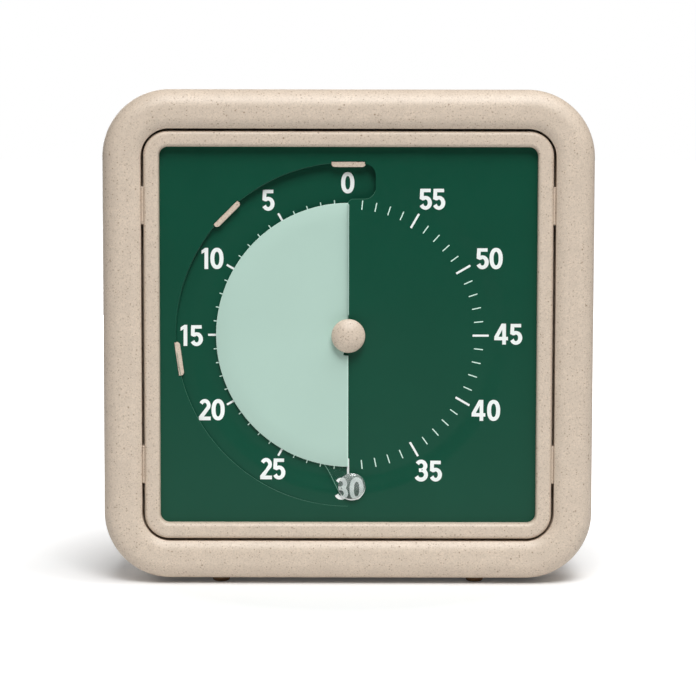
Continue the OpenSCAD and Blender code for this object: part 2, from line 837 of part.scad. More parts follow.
// A toothed outline. Each tooth is a list of [height from the pitch circle, half width],
// both in modules, from its root to its tip.
function tooth_point(teeth, i, p, side) =
    let (r = (teeth / 2 + p[0]) * tooth_module) polar(r, 360 * i / teeth + side * p[1] * tooth_module / r * 180 / PI);

function toothed_outline(teeth, tooth) = [
    for (i = [0:teeth - 1]) each concat(
        [for (k = [0:len(tooth) - 1]) tooth_point(teeth, i, tooth[k], -1)],
        [for (k = [len(tooth) - 1:-1:0]) tooth_point(teeth, i, tooth[k], 1)]
    )
];

wheel_tooth = [[-1.3, 0.62], [0, 0.62], [0.55, 0.45], [0.95, 0.15]];
leaf_tooth = [[-1.6, 0.36], [0, 0.5], [0.35, 0.3]];

// A wheel with four lightening holes
module wheel(teeth) {
    rim_r = (teeth / 2 - 4) * tooth_module;
    linear_extrude(wheel_t) difference() {
        polygon(toothed_outline(teeth, wheel_tooth));
        for (turn = [45:90:315]) rotate(turn) translate([rim_r * 0.62, 0]) circle(rim_r * 0.26);
    }
}

module pinion(height) {
    linear_extrude(height) polygon(toothed_outline(pinion_teeth, leaf_tooth));
}

// The arbor of a wheel, with a pivot at each end
module arbor() {
    low = housing_back_z + housing_wall;
    high = housing_front_z - housing_wall;
    post(arbor_d / 2, low + 0.2, high - 0.2);
    post(pivot_d / 2, low + 0.1 - pivot_length, high - 0.1 + pivot_length);
}

// Angle at which a pinion's gap faces the wheel that it drives
function gap_angle(toward) = toward + 180 + 180 / pinion_teeth;

module output_wheel() {
    color("#f4f4f0") stand_up() difference() {
        translate([0, 0, output_z]) rotate(third_angle) wheel(output_teeth);
        post(spindle_r, output_z - eps, output_z + wheel_t + eps);
    }
}

module third_wheel() {
    color("#f4f4f0") stand_up() translate(third_at) {
        arbor();
        translate([0, 0, third_z]) rotate(second_angle) wheel(third_teeth);
        translate([0, 0, output_z - pinion_overlap]) rotate(gap_angle(third_angle))
            pinion(wheel_t + 2 * pinion_overlap);
    }
}

module second_wheel() {
    color("#f4f4f0") stand_up() translate(second_at) {
        arbor();
        translate([0, 0, second_z]) rotate(rotor_angle) wheel(second_teeth);
        translate([0, 0, third_z - pinion_overlap]) rotate(gap_angle(second_angle))
            pinion(wheel_t + 2 * pinion_overlap);
    }
}

module rotor() {
    color("#555555") stand_up() translate(rotor_at) {
        arbor();
        translate([0, 0, second_z - pinion_overlap]) rotate(gap_angle(rotor_angle))
            pinion(wheel_t + 2 * pinion_overlap);
        post(magnet_r, magnet_z, magnet_z + magnet_h);
    }
}

module stator() {
    color("#9a9a9a") stand_up() translate([rotor_at[0], 0, stator_z]) linear_extrude(lamination_t)
        difference() {
            union() {
                translate([-stator_reach, rotor_at[1] - stator_w / 2])
                    square([2 * stator_reach, stator_w]);
                for (x = [-stator_reach, stator_reach - limb_w])
                    translate([x, rotor_at[1]]) square([limb_w, core_y + limb_w / 2 - rotor_at[1]]);
            }
            translate([0, rotor_at[1]]) circle(stator_hole_r);
        }
}

module coil_core() {
    color("#8a8a8a") stand_up() translate([rotor_at[0], core_y, core_z + lamination_t / 2])
        cube([2 * stator_reach, limb_w, lamination_t], center = true);
}

// Places what is wound along x round the coil's core, with z along the core
module along_core() {
    translate([rotor_at[0], core_y, core_z + lamination_t / 2]) rotate([0, 90, 0]) children();
}

module coil_bobbin() {
    half = bobbin_length / 2;
    color("#e8e8e0") stand_up() along_core() difference() {
        union() {
            post(bobbin_r, -half, half);
            post(bobbin_flange_r, -half, -half + flange_t);
            post(bobbin_flange_r, half - flange_t, half);
        }
        cube([lamination_t, limb_w, 2 * bobbin_length], center = true);
    }
}

module coil_winding() {
    half = bobbin_length / 2 - flange_t;
    color("#b5651d") stand_up() along_core() difference() {
        post(winding_r, -half, half);
        post(bobbin_r, -half - eps, half + eps);
    }
}

module movement_screws() {
    color("silver") stand_up() at_ears()
        screw(small_screw_d, small_head_r, small_head_t, housing_split_z, housing_split_z + 6);
}

// ---- Board and battery ----

module board_tab_slot(side) {
    translate([side * (bay_length / 2 - contact_t / 2), -bay_drop, bay_floor_z + bay_wall])
        cube([contact_t, tab_w, 4 * bay_wall], center = true);
}

module at_board_screws() {
    for (x = [board_screw_left, board_screw_right]) translate([x, -bay_drop]) children();
}

module circuit_board() {
    color("#2f6b3a") stand_up() difference() {
        translate([board_left, -bay_drop - board_w / 2, board_z])
            cube([board_right - board_left, board_w, board_t]);
        for (side = [-1, 1]) board_tab_slot(side);
        at_board_screws() post(small_screw_d / 2 + slip, board_z - eps, board_z + board_t + eps);
    }
}

module quartz_crystal() {
    color("silver") stand_up() translate([-12, -bay_drop + 3, board_z + board_t + 1.5])
        rotate([0, 90, 0]) cylinder(d = 3, h = 8);
}

module driver_chip() {
    color("#222222") stand_up() translate([6, -bay_drop, board_z + board_t + 0.75])
        cube([9, 6, 1.5], center = true);
}

module buzzer() {
    color("#2a2a2a") stand_up() translate(buzzer_at) difference() {
        post(buzzer_r, back_z + wall, back_z + wall + buzzer_h);
        post(buzzer_r - 1.5, back_z + wall - eps, back_z + wall + 1.5);
    }
}

module board_screws() {
    color("silver") stand_up() at_board_screws() mirror([0, 0, 1])
        screw(small_screw_d, small_head_r, small_head_t, -board_z - board_t, -board_z - board_t + 6);
}

module battery() {
    color("#3a3f45") stand_up() translate([cell_back_x, -bay_drop, cell_z]) rotate([0, 90, 0]) {
        cylinder(d = cell_d, h = cell_length);
        cylinder(r = cell_button_r, h = cell_length + cell_button);
    }
}

module contact_strip(side) {
    low = back_z + door_t + 1.4;
    inner = bay_length / 2 - contact_t;
    scale([side, 1, 1]) {
        translate([inner, -bay_drop - contact_w / 2, low]) cube([contact_t, contact_w, bay_floor_z - low]);
        translate([inner, -bay_drop - tab_w / 2, low])
            cube([contact_t, tab_w, board_z + board_t + 0.8 - low]);
    }
}

module battery_contact_positive() {
    color("silver") stand_up() contact_strip(1);
}

// Conical coil spring between the strip and the cell
spring_wire_r = 0.35;
spring_turns = 3.5;
spring_sides = 8;
spring_steps = 14;

function spring_section(t, length) =
    let (a = 360 * spring_turns * t, r = 5.6 - 2 * t, x = spring_wire_r + (length - 2 * spring_wire_r) * t)
    [for (k = [0:spring_sides - 1])
        let (b = 360 * k / spring_sides, q = r + spring_wire_r * cos(b))
        [x + spring_wire_r * sin(b), q * cos(a), q * sin(a)]];

module battery_contact_negative() {
    length = cell_back_x + bay_length / 2 - contact_t;
    rings = spring_turns * spring_steps;
    color("silver") stand_up() {
        contact_strip(-1);
        translate([contact_t - bay_length / 2 - 0.1, -bay_drop, cell_z])
            loft([for (i = [0:rings]) spring_section(i / rings, length + 0.1)]);
    }
}

// ---- Rear cover ----

module rear_profile() {
    difference() {
        mirror([0, 1]) rounded_bar(0, case_corner_r, -parting_z, -back_z, 0.01, rear_round);
        mirror([0, 1]) rounded_bar(-eps, case_corner_r - wall, -parting_z - eps, -back_z - wall,
            0.01, rear_round - wall);
    }
    lip_outer = case_corner_r - wall - slip;
    translate([lip_outer - lip_t, parting_z - 2]) square([lip_t, lip_height + 2]);
    translate([lip_outer - lip_t, parting_z - 2]) square([lip_t + slip + 0.2, 2]);
}

module door_outline(length, width, z0, z1) {
    translate([-door_length / 2, -bay_drop - width / 2, z0]) cube([length, width, z1 - z0]);
}

module rear_cover() {
    bay_top = board_z;
    groove_z = back_z + door_t - door_groove_t;
    recess_l = door_length + door_travel + door_slack;
    color("#d7c6b2") stand_up() difference() {
        union() {
            ring_sweep(case_reach) rear_profile();
            translate([-case_reach, -case_reach, back_z]) cube([2 * case_reach, 2 * case_reach, wall]);
            at_corners() post(post_r, back_z + wall / 2, chassis_back_z);
            // battery bay
            translate([-bay_length / 2 - bay_wall, -bay_drop - bay_w / 2 - bay_wall, back_z + wall / 2])
                cube([bay_length + 2 * bay_wall, bay_w + 2 * bay_wall, bay_top - back_z - wall / 2]);
            // floor of the door's recess, thicker than the wall
            translate([-door_length / 2 - 2, -bay_drop - door_w / 2 - 3, back_z + wall / 2])
                cube([recess_l + 4, door_w + 6, wall / 2 + 1]);
            at_board_screws() post(board_post_r, back_z + wall / 2, board_z);
        }
        // bay, open to the back
        translate([-bay_length / 2, -bay_drop - bay_w / 2, back_z - eps])
            cube([bay_length, bay_w, bay_floor_z - back_z + eps]);
        for (side = [-1, 1]) board_tab_slot(side);
        // recess and side grooves in which the door slides
        door_outline(recess_l, door_w + 2 * door_slack, back_z - eps, back_z + door_t);
        door_outline(recess_l, door_w + 2 * door_tongue + 2 * door_slack, groove_z - 0.1, back_z + door_t);
        at_board_screws() post(small_screw_d / 2, board_z - 6, board_z + eps);
        // screw passages
        at_corners() post(case_screw_d / 2 + slip, back_z - eps, chassis_back_z + eps);
        at_corners() post(case_head_r + 0.3, back_z - eps, head_seat_z);
        // hanging hole
        translate([0, hanger_y]) post(hanger_r, back_z - eps, back_z + wall + eps);
        translate([-hanger_r / 2, hanger_y, back_z - eps]) cube([hanger_r, hanger_slot, wall + 2 * eps]);
        translate([0, hanger_y + hanger_slot]) post(hanger_r / 2, back_z - eps, back_z + wall + eps);
        // sound holes
        translate(buzzer_at) {
            post(0.9, back_z - eps, back_z + wall + eps);
            for (turn = [0:60:300]) rotate(turn) translate([4, 0])
                post(0.9, back_z - eps, back_z + wall + eps);
        }
        // alert switch
        translate([switch_x, -bay_drop, back_z]) {
            cube([switch_head + switch_travel + 2, switch_head + 1, 2 * switch_recess_t], center = true);
            cube([switch_slot_w + switch_travel + 0.6, switch_slot_w, 4 * wall], center = true);
            translate([0, 0, 2 * wall])
                cube([switch_head + switch_travel + 0.8, switch_head + 0.8, 2 * wall], center = true);
        }
        foot_sockets(foot_rear_z);
    }
}

module battery_door() {
    grip_h = 0.6;
    color("#d7c6b2") stand_up() difference() {
        union() {
            door_outline(door_length, door_w, back_z, back_z + door_t);
            door_outline(door_length, door_w + 2 * door_tongue, back_z + door_t - door_groove_t + 0.05,
                back_z + door_t - 0.05);
        }
        // grip grooves
        for (i = [0:4]) translate([door_length / 2 - 8 - 2 * i, -bay_drop, back_z])
            cube([1, door_w * 0.6, grip_h], center = true);
    }
}

module alert_switch() {
    neck = switch_slot_w - 2 * slip;
    rest_x = switch_x - switch_travel / 2;
    inside_z = back_z + wall;
    stem_top = board_z - switch_body_h + 0.8;
    color("#4a4a46") stand_up() translate([rest_x, -bay_drop, 0]) {
        translate([-switch_head / 2, -switch_head / 2, back_z]) cube([switch_head, switch_head, switch_recess_t]);
        translate([-neck / 2, -neck / 2, back_z]) cube([neck, neck, stem_top - 3 - back_z]);
        translate([-switch_head / 2, -switch_head / 2, inside_z]) cube([switch_head, switch_head, 0.8]);
        translate([-0.6, -0.6, back_z + wall]) cube([1.2, 1.2, stem_top - back_z - wall]);
    }
}

// Slide switch on the board, with the channel in which the alert switch's stem rides
module switch_body() {
    length = switch_travel + 5;
    color("#b8b8b8") stand_up() translate([switch_x, -bay_drop, board_z - switch_body_h]) difference() {
        translate([-length / 2, -switch_body_w / 2, 0]) cube([length, switch_body_w, switch_body_h]);
        cube([switch_travel + 1.8, 1.6, 2], center = true);
    }
}

module rear_cover_screws() {
    color("silver") stand_up() at_corners()
        screw(case_screw_d, case_head_r, case_head_t, head_seat_z, chassis_front_z + 7);
}

// ---- Feet ----

module at_feet(depth_z) {
    for (x = [-1, 1]) translate([x * foot_spacing / 2, -case_size / 2, depth_z]) rotate([90, 0, 0]) children();
}

module foot_sockets(depth_z) {
    at_feet(depth_z) post(foot_stem_r, -wall - eps, eps);
}

module foot() {
    post(foot_stem_r, -wall, 0.2);
    post(foot_r, 0, foot_h - 1.2);
    post(foot_flat_r, 0, foot_h);
    translate([0, 0, foot_h - 1.2]) rotate_extrude() intersection() {
        translate([foot_flat_r, 0]) circle(1.2);
        square([foot_r, 1.2]);
    }
}

module feet() {
    color("#5a4636") stand_up() {
        at_feet(foot_front_z) foot();
        at_feet(foot_rear_z) foot();
    }
}

outer_frame();
bezel();
dial_plate();
chassis();
countdown_disc();
disc_tab();
disc_hub();
setting_knob();
spindle();
clutch_spring();
spindle_bush();
movement_front_housing();
movement_rear_housing();
output_wheel();
third_wheel();
second_wheel();
rotor();
stator();
coil_core();
coil_bobbin();
coil_winding();
movement_screws();
circuit_board();
quartz_crystal();
driver_chip();
buzzer();
switch_body();
board_screws();
battery();
battery_contact_positive();
battery_contact_negative();
rear_cover();
battery_door();
alert_switch();
rear_cover_screws();
feet();
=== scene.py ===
"""Visual countdown timer: detailed surfaces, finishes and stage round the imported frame."""

import math

import bmesh
import bpy
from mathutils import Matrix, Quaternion, Vector
from mathutils.geometry import delaunay_2d_cdt


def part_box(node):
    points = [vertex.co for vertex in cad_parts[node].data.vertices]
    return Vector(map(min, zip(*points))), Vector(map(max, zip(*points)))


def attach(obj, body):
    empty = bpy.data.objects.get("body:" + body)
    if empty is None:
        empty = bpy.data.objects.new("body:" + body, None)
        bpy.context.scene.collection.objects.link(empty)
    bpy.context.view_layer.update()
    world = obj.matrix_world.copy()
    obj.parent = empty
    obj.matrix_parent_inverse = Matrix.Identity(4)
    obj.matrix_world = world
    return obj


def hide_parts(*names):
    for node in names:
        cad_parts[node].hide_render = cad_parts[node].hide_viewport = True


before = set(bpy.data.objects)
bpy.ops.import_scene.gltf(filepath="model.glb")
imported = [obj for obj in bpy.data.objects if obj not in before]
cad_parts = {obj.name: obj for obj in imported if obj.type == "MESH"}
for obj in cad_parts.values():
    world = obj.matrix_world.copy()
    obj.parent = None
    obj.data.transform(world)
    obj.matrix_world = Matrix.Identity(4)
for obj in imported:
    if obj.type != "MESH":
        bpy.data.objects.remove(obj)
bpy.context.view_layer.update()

bl_info = {
    "name": "Visual countdown timer",
    "version": (1, 0, 0),
    "blender": (4, 5, 0),
    "location": "3D View > Sidebar > Timer",
    "description": "Builds the detailed surfaces, the finishes and the stage of a visual countdown timer",
    "category": "Object",
}

MM = 0.001
WELD = 1e-7
INSIDE_ONLY = 1  # a triangulation that keeps only what its outlines hold
DIAL_CENTRE_Z = sum(c.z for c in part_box("setting_knob")) / 2

# Levels and outlines of the case, in millimetres and degrees: x to the right, y up the dial
# and z towards the viewer, all from the middle of the case. A "reach" is the distance from
# the middle to the centre of a square's round corner.
FRONT_Z = 22.5
PARTING_Z = -2.0
PARTING_ROUND = 0.3
CASE_REACH = 69.0
CASE_CORNER_R = 26.0
WALL = 2.5
FRAME_LEDGE = 2.2
INNER_EDGE = 42.0  # slope at which the inner round breaks off at the opening
FACE_Z = 16.5
LEDGE_Z = 14.5
CHASSIS_Z = 10.3

# The bezel, and the snap tongues beside it with their hidden noses
BEZEL_REACH = 69.5
BEZEL_CORNER_R = 9.5
BEZEL_W = 6.0
BEZEL_LIP = 2.0
BEZEL_FRONT_Z = 20.5
TONGUE_Y = 50.3
TONGUE_HALF = 7.35
TONGUE_T = 1.0
TONGUE_ROOT = 0.3
TONGUE_EASE = 0.35
TONGUE_CHAMFER = 0.3
TONGUE_TOP_Z = BEZEL_FRONT_Z - 1.5
TONGUE_LOW_Z = LEDGE_Z - 2.2
NOSE_REACH = 2.2
NOSE_TIP_H = 2.3
NOSE_ROOT_H = 2.6

# The helical dial: levels are from its flat face, and a section is drawn every SECTION_STEP degrees
SECTION_STEP = 2
RAMP_DROP = 3.6
INNER_DROP = 1.2
DIAL_T = 1.0
PLATE_T = 2.0
RECESS_R = 66.8
RECESS_ROUND = 0.3
RECESS_SEAM = 0.01
RECESS_RIM = 0.05
FULL_ROUND_DROP = 0.5  # drop of the ramp from which its outer edge has its full round
ZONE_R = 54.8
ZONE_RISE = 8.0
ZONE_STEPS = 8
INNER_RADII = (6.3, 9.0, 14.0, 24.0, 38.0, ZONE_R)
SKIRT_T = 1.2
FLAT_SKIRT_T = 0.8
PLATE_RIM = 0.1
PLATE_HALF = 76.6
PLATE_CORNER_R = 7.1
POCKET_W = 10.5
POCKET_R = 52.8
POCKET_TOP = 66.3
POCKET_CORNER_R = 4.2
POCKET_CUT_X = -3.0
POCKET_CUT_DEPTH = 4.0
LIP_CORNER_R = 1.8
TRAY_FOOT = 2.5
TRAY_INSET = 3.0
TRAY_WALL_T = 1.0
TRAY_WALL_TOP = 0.15
TRAY_WALL_FOOT = 0.2
HOOK_ANGLES = (0, 45, 98)
HOOK_LENGTH = 13.2
HOOK_INNER = 65.2
HOOK_OUTER = 67.3
HOOK_GAP = 0.1
NOTCH_CUT_DEPTH = 1.7
CUT_ABOVE = 1.0

# Print, and the fine pale lines painted along edges as highlights
PRINT_T = 0.05
PRINT_SUNK = 0.01
STROKE_ROUND = 0.18
LINE_LIFT = 0.012
LINE_DEPTH = 0.05
LIP_LINE_X = 0.15
LIP_LINE_W = 0.16
RECESS_LINE_W = 0.13
RECESS_LINE_ANGLES = range(96, 181, 2)
SLIT_LINE_X = 0.2
SLIT_LINE_W = 0.2
# painted highlights: colours of the pale lines along the dial's edges
EDGE_HIGHLIGHT_GREEN = (0.06, 0.2, 0.13)
SLIT_HIGHLIGHT_PALE = (0.55, 0.76, 0.68)

# The disc, which stands at half of its time
DISC_R = 51.3
DISC_T = 0.5
DISC_ARC = 358
DISC_REST = -0.75
DISC_RADII = (5.25, 7.9, 12.0, 20.0, 32.0, 44.0)  # from the hub's seat outwards
DISC_RIM_ROUND = 0.16
DISC_RIM_MIDDLE = 0.3  # how far in the middle of that round lies, as a share of it
REST_ANGLE = 180
NOTCH_R = 7.9
NOTCH_ANGLE = 14
# painted highlight: how much paler than the disc its edge strips are
CUT_EDGE_HIGHLIGHT = 1.35
CUT_EDGE_W = 0.3
CUT_EDGE_PROUD = 0.015
CUT_EDGE_SHORT = 0.1
CUT_RIM_W = 0.2
CUT_RIM_DROP = 0.1
CUT_RIM_FOOT = 0.05
HIGHLIGHT_LIFT = 0.01  # how far a thin painted highlight strip stands over what it covers

# The clear tab
TAB_RISE = 1.0
TAB_T = 0.5
TAB_RISER_R = 53.4
TAB_RISER_T = 0.8
TAB_RING_END = 209  # where the sheet leaves the dome's ring
TAB_BEND = (-6.7, -54.4)
TAB_PULL = (-8.0, -52.0)
TAB_FOOT_ANGLE = 259.7
TAB_RIM_ANGLES = (260.5, 269)
TAB_HELD_ANGLES = [269.7 - 1.2 * i for i in range(9)]
TAB_HELD_RADII = (53.2, 53.4, 53.6, 53.8, 54.0, 54.2, 54.4)
TAB_LINE_W = 0.14
TAB_LINE_DEPTH = 0.3
DOME_REACH = 59.1
DOME_LEAD = 1.4
DOME_R = 5.3
DOME_H = 1.6
DOME_CAP_R = 5.7
DOME_EASE = 0.1
DOME_SHOULDER = 0.05
DOME_GAP = 0.03
# painted highlight: colour of the pale strip along the clear tab's trailing edge
TAB_EDGE_HIGHLIGHT = (0.2, 0.42, 0.32)

# The setting knob, whose crown is a power curve, and the feet
KNOB_R = 6.55
KNOB_BASE_Z = 17.9
KNOB_H = 3.6
KNOB_RIM = 1.0
KNOB_BORE_R = 2.6
KNOB_BORE_DEPTH = 1.65
KNOB_EASE = 0.35
KNOB_EASE_MIDDLE = 0.1
KNOB_SHOULDER = (0.04, 0.08)
KNOB_EDGE = 0.16
KNOB_CROWN_RISE = 0.1
KNOB_CROWN_POWER = 2.5
KNOB_CROWN_STEPS = 24
KNOB_CROWN_SPREAD = 1.2
FOOT_X = (-49.65, 49.65)
FOOT_Z = (11.5, -16.5)
FOOT_R = 3.4
FOOT_H = 2.15
FOOT_ROUND = 1.2
FOOT_RING = 0.2
FOOT_STEPS = 48

# The back: radii of small edges, in metres, and the share of the shell's that moving parts
# have. Faces that turn less than FLAT_WITHIN count as one, and an edge that turns more than
# ROUNDED_FROM is rounded.
SCREW_ROUND = 0.00015
CHASSIS_ROUND = 0.00025
MOVING_SHARE = 0.7
SOLID_WELD = 1e-6
FLAT_WITHIN = math.radians(0.5)
ROUNDED_FROM = math.radians(50)

# The stage, in metres. The floor glows from nothing near the timer to plain white further
# out, over FLOOR_FADE. Each lamp has its place, its target and its width.
FLOOR_X = (-8.0, 8.0)
FLOOR_Y = (-0.5, 8.0)
FLOOR_PAPER = (0.86, 0.86, 0.86)
FLOOR_FADE = (0.07, 0.31)
FLOOR_GLOW = (0.05, 1.05)
CAMERA_TARGET = (-0.0001, 0.0, 0.09065)
CAMERA_SENSOR_MM = 36.0
CAMERA_END = 30.0
LAMPS = {
    "key_light": ((0.08, -1.0, 1.36), (0.0, 0.0, 0.09), 0.8),
    "back_light": ((-0.35, 1.25, 0.22), (0.0, 0.0, 0.09), 0.8),
    "top_light": ((0.45, -0.25, 1.25), (0.0, 0.0, 0.0), 0.6),
}


# ---- Sizes, colours and light that a user would change ----


class CaseSettings(bpy.types.PropertyGroup):
    band: bpy.props.FloatProperty(
        name="Frame band", description="Width of the frame's front band", default=0.015, unit="LENGTH")
    outer_round: bpy.props.FloatProperty(
        name="Outer round", description="Radius of the frame's outer front edge", default=0.007,
        unit="LENGTH")
    inner_round: bpy.props.FloatProperty(
        name="Inner round", description="Radius of the frame's inner front edge", default=0.006,
        unit="LENGTH")
    bezel_round: bpy.props.FloatProperty(
        name="Bezel round", description="Radius of the bezel's front edges", default=0.0015, unit="LENGTH")
    edge_round: bpy.props.FloatProperty(
        name="Small edges", description="Radius of the moulded edges of the back", default=0.0003,
        unit="LENGTH")
    plastic: bpy.props.FloatVectorProperty(
        name="Case plastic", description="Colour of the speckled case plastic", subtype="COLOR",
        default=(0.698, 0.581, 0.466))
    speck: bpy.props.FloatVectorProperty(
        name="Specks", description="Colour of the brown specks in the case plastic", subtype="COLOR",
        default=(0.25, 0.155, 0.085))


class DialSettings(bpy.types.PropertyGroup):
    major_inner: bpy.props.FloatProperty(
        name="Long marks from", description="Inner radius of the five minute marks", default=0.0482,
        unit="LENGTH")
    major_outer: bpy.props.FloatProperty(
        name="Long marks to", description="Outer radius of the five minute marks", default=0.0545,
        unit="LENGTH")
    major_width: bpy.props.FloatProperty(
        name="Long mark width", description="Width of the five minute marks", default=0.00082, unit="LENGTH")
    minor_inner: bpy.props.FloatProperty(
        name="Short marks from", description="Inner radius of the minute marks", default=0.049, unit="LENGTH")
    minor_outer: bpy.props.FloatProperty(
        name="Short marks to", description="Outer radius of the minute marks", default=0.0526, unit="LENGTH")
    minor_width: bpy.props.FloatProperty(
        name="Short mark width", description="Width of the minute marks", default=0.00042, unit="LENGTH")
    green: bpy.props.FloatVectorProperty(
        name="Dial", description="Colour of the dial", subtype="COLOR", default=(0.002, 0.066, 0.036))
    ink: bpy.props.FloatVectorProperty(
        name="Print", description="Colour of the numbers and the five minute marks", subtype="COLOR",
        default=(0.88, 0.92, 0.9))
    fine_ink: bpy.props.FloatVectorProperty(
        name="Fine print", description="Colour of the minute marks", subtype="COLOR",
        default=(0.64, 0.86, 0.76))


class DiscSettings(bpy.types.PropertyGroup):
    mint: bpy.props.FloatVectorProperty(
        name="Disc", description="Colour of the countdown disc", subtype="COLOR",
        default=(0.452, 0.632, 0.552))
    clear: bpy.props.FloatVectorProperty(
        name="Tab", description="Tint of the clear tab", subtype="COLOR", default=(0.93, 0.97, 0.96))


class StageSettings(bpy.types.PropertyGroup):
    lens: bpy.props.FloatProperty(
        name="Lens", description="Focal length of the camera", default=137.8, unit="CAMERA")
    distance: bpy.props.FloatProperty(
        name="Distance", description="Distance of the camera from its target", default=1.05, unit="LENGTH")
    elevation: bpy.props.FloatProperty(
        name="Elevation", description="Height of the view above the horizon", default=math.radians(5.2),
        subtype="ANGLE")
    roll: bpy.props.FloatProperty(
        name="Roll", description="Turn of the camera about its view", default=math.radians(0.1),
        subtype="ANGLE")
    key_power: bpy.props.FloatProperty(
        name="Key light", description="Power of the key light", default=23.0, unit="POWER")
    top_power: bpy.props.FloatProperty(
        name="Top light", description="Power of the top light", default=6.0, unit="POWER")
    back_power: bpy.props.FloatProperty(
        name="Back light", description="Power of the back light", default=9.0, unit="POWER")
    sky: bpy.props.FloatProperty(
        name="Sky", description="Strength of the even light all round", default=0.06)


class TimerSettings(bpy.types.PropertyGroup):
    case: bpy.props.PointerProperty(
        type=CaseSettings, name="Case", description="Sizes and colours of the case")
    dial: bpy.props.PointerProperty(
        type=DialSettings, name="Dial", description="Sizes and colours of the dial and its print")
    disc: bpy.props.PointerProperty(
        type=DiscSettings, name="Disc", description="Colours of the disc and its clear tab")
    stage: bpy.props.PointerProperty(
        type=StageSettings, name="Stage", description="Camera and light")


# ---- Meshes ----


def at(x, y, z):
    """A point of the timer's layout in millimetres, as a point of the frame in metres."""
    return (x * MM, -z * MM, DIAL_CENTRE_Z + y * MM)


def on_dial_flat(r, a):
    """A flat point at a radius and an angle that runs counter-clockwise from 12 o'clock."""
    t = math.radians(a)
    return (-r * math.sin(t), r * math.cos(t))


def on_dial(r, a, z):
    """The same place at a level, as a point of the frame."""
    return at(*on_dial_flat(r, a), z)


def polar(cx, cy, r, a):
    """A flat point at a radius and an angle round a centre."""
    t = math.radians(a)
    return (cx + r * math.cos(t), cy + r * math.sin(t))


def arc(cx, cy, r, start, end, steps):
    """Flat points along an arc, both ends included."""
    return [polar(cx, cy, r, start + (end - start) * i / steps) for i in range(steps + 1)]


def inside(point, outline):
    """Whether a point lies in a flat outline."""
    x, y = point
    if not min(p.y for p in outline) < y < max(p.y for p in outline):
        return False
    crossings = 0
    for p, q in zip(outline, outline[1:] + outline[:1]):
        if (p.y > y) != (q.y > y) and x < p.x + (q.x - p.x) * (y - p.y) / (q.y - p.y):
            crossings += 1
    return crossings % 2 == 1


def smooth_step(t):
    """A rise from 0 to 1 that starts and ends level."""
    t = min(1.0, max(0.0, t))
    return t * t * (3 - 2 * t)


def solid_mesh(name, verts, faces, weld=0.0):
    """A mesh whose faces look outwards, with points nearer than the weld distance joined."""
    mesh = bpy.data.meshes.new(name)
    mesh.from_pydata(verts, [], faces)
    work = bmesh.new()
    work.from_mesh(mesh)
    if weld:
        bmesh.ops.remove_doubles(work, verts=work.verts, dist=weld)
    bmesh.ops.recalc_face_normals(work, faces=work.faces)
    work.to_mesh(mesh)
    work.free()
    return mesh


def piece(name, verts, faces, finish, body, slot=None, replaces=(), sharp=32):
    """A new piece from points in metres, with smooth faces and sharp edges where they turn."""
    obj = bpy.data.objects.new(name, solid_mesh(name, verts, faces, WELD))
    return finished(obj, finish, body, replaces, sharp)


def finished(obj, finish, body, replaces, sharp):
    """Links an object, shades it, gives it its finish and lets it ride on its body."""
    bpy.context.scene.collection.objects.link(obj)
    obj.data.shade_smooth()
    obj.data.set_sharp_from_angle(angle=math.radians(sharp))
    obj.data.materials.clear()
    obj.data.materials.append(finish)
    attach(obj, body)
    if replaces:
        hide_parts(*replaces)
    return obj


def grid_faces(rows, columns, closed_rows=False, closed_columns=True):
    """Faces of a grid of points, row after row, that may close on itself either way."""
    faces = []
    for r in range(rows if closed_rows else rows - 1):
        for c in range(columns if closed_columns else columns - 1):
            r2, c2 = (r + 1) % rows, (c + 1) % columns
            faces.append((r * columns + c, r * columns + c2, r2 * columns + c2, r2 * columns + c))
    return faces


def square_sweep(profile, reach, steps):
    """A closed profile swept round a square with round corners."""
    verts = []
    for turn in range(4):
        for i in range(steps + 1):
            t = math.radians(90 * turn + 90 * i / steps)
            corner = math.radians(90 * turn + 45)
            cx, cy = (reach * round(math.copysign(1, f(corner))) for f in (math.cos, math.sin))
            verts += [at(cx + x * math.cos(t), cy + x * math.sin(t), z) for x, z in profile]
    return verts, grid_faces(4 * (steps + 1), len(profile), closed_rows=True)


def revolved(profile, cx=0.0, cy=0.0, steps=96):
    """A profile of radius and level turned round an axis towards the viewer."""
    verts = []
    for i in range(steps):
        t = 2 * math.pi * i / steps
        verts += [at(cx + r * math.cos(t), cy + r * math.sin(t), z) for r, z in profile]
    return verts, grid_faces(steps, len(profile), closed_rows=True, closed_columns=False)


def lofted(sections):
    """A solid through closed sections of equally many points, with flat ends."""
    n = len(sections[0])
    verts = [p for s in sections for p in s]
    faces = grid_faces(len(sections), n)
    faces.append(tuple(range(n)))
    faces.append(tuple(len(verts) - n + i for i in reversed(range(n))))
    return verts, faces


def joined(*shapes):
    """Several (points, faces) as one."""
    verts, faces = [], []
    for v, f in shapes:
        faces += [tuple(i + len(verts) for i in face) for face in f]
        verts += v
    return verts, faces


def slab(flat, faces, underside, thickness):
    """A slab of even thickness over flat faces, bent by the level of its underside."""
    used = sorted({i for f in faces for i in f})
    place = {i: k for k, i in enumerate(used)}
    faces = [tuple(place[i] for i in f) for f in faces]
    n = len(used)
    verts = [at(*flat[i], underside(*flat[i]) + h) for h in (0.0, thickness) for i in used]
    solid = [tuple(reversed(f)) for f in faces] + [tuple(i + n for i in f) for f in faces]
    sides = {}
    for f in faces:
        for i, j in zip(f, list(f[1:]) + [f[0]]):
            sides[frozenset((i, j))] = None if frozenset((i, j)) in sides else (i, j)
    solid += [(i, j, j + n, i + n) for i, j in filter(None, sides.values())]
    return verts, solid


def sheet(outline, inner, underside, thickness):
    """A slab over a flat outline, with points held inside it."""
    edge = [Vector(p) for p in outline]
    held = [Vector(p) for p in inner if inside(p, edge)]
    flat, _, faces, *_ = delaunay_2d_cdt(edge + held, [], [list(range(len(edge)))], INSIDE_ONLY, 1e-6)
    return slab(flat, faces, underside, thickness)


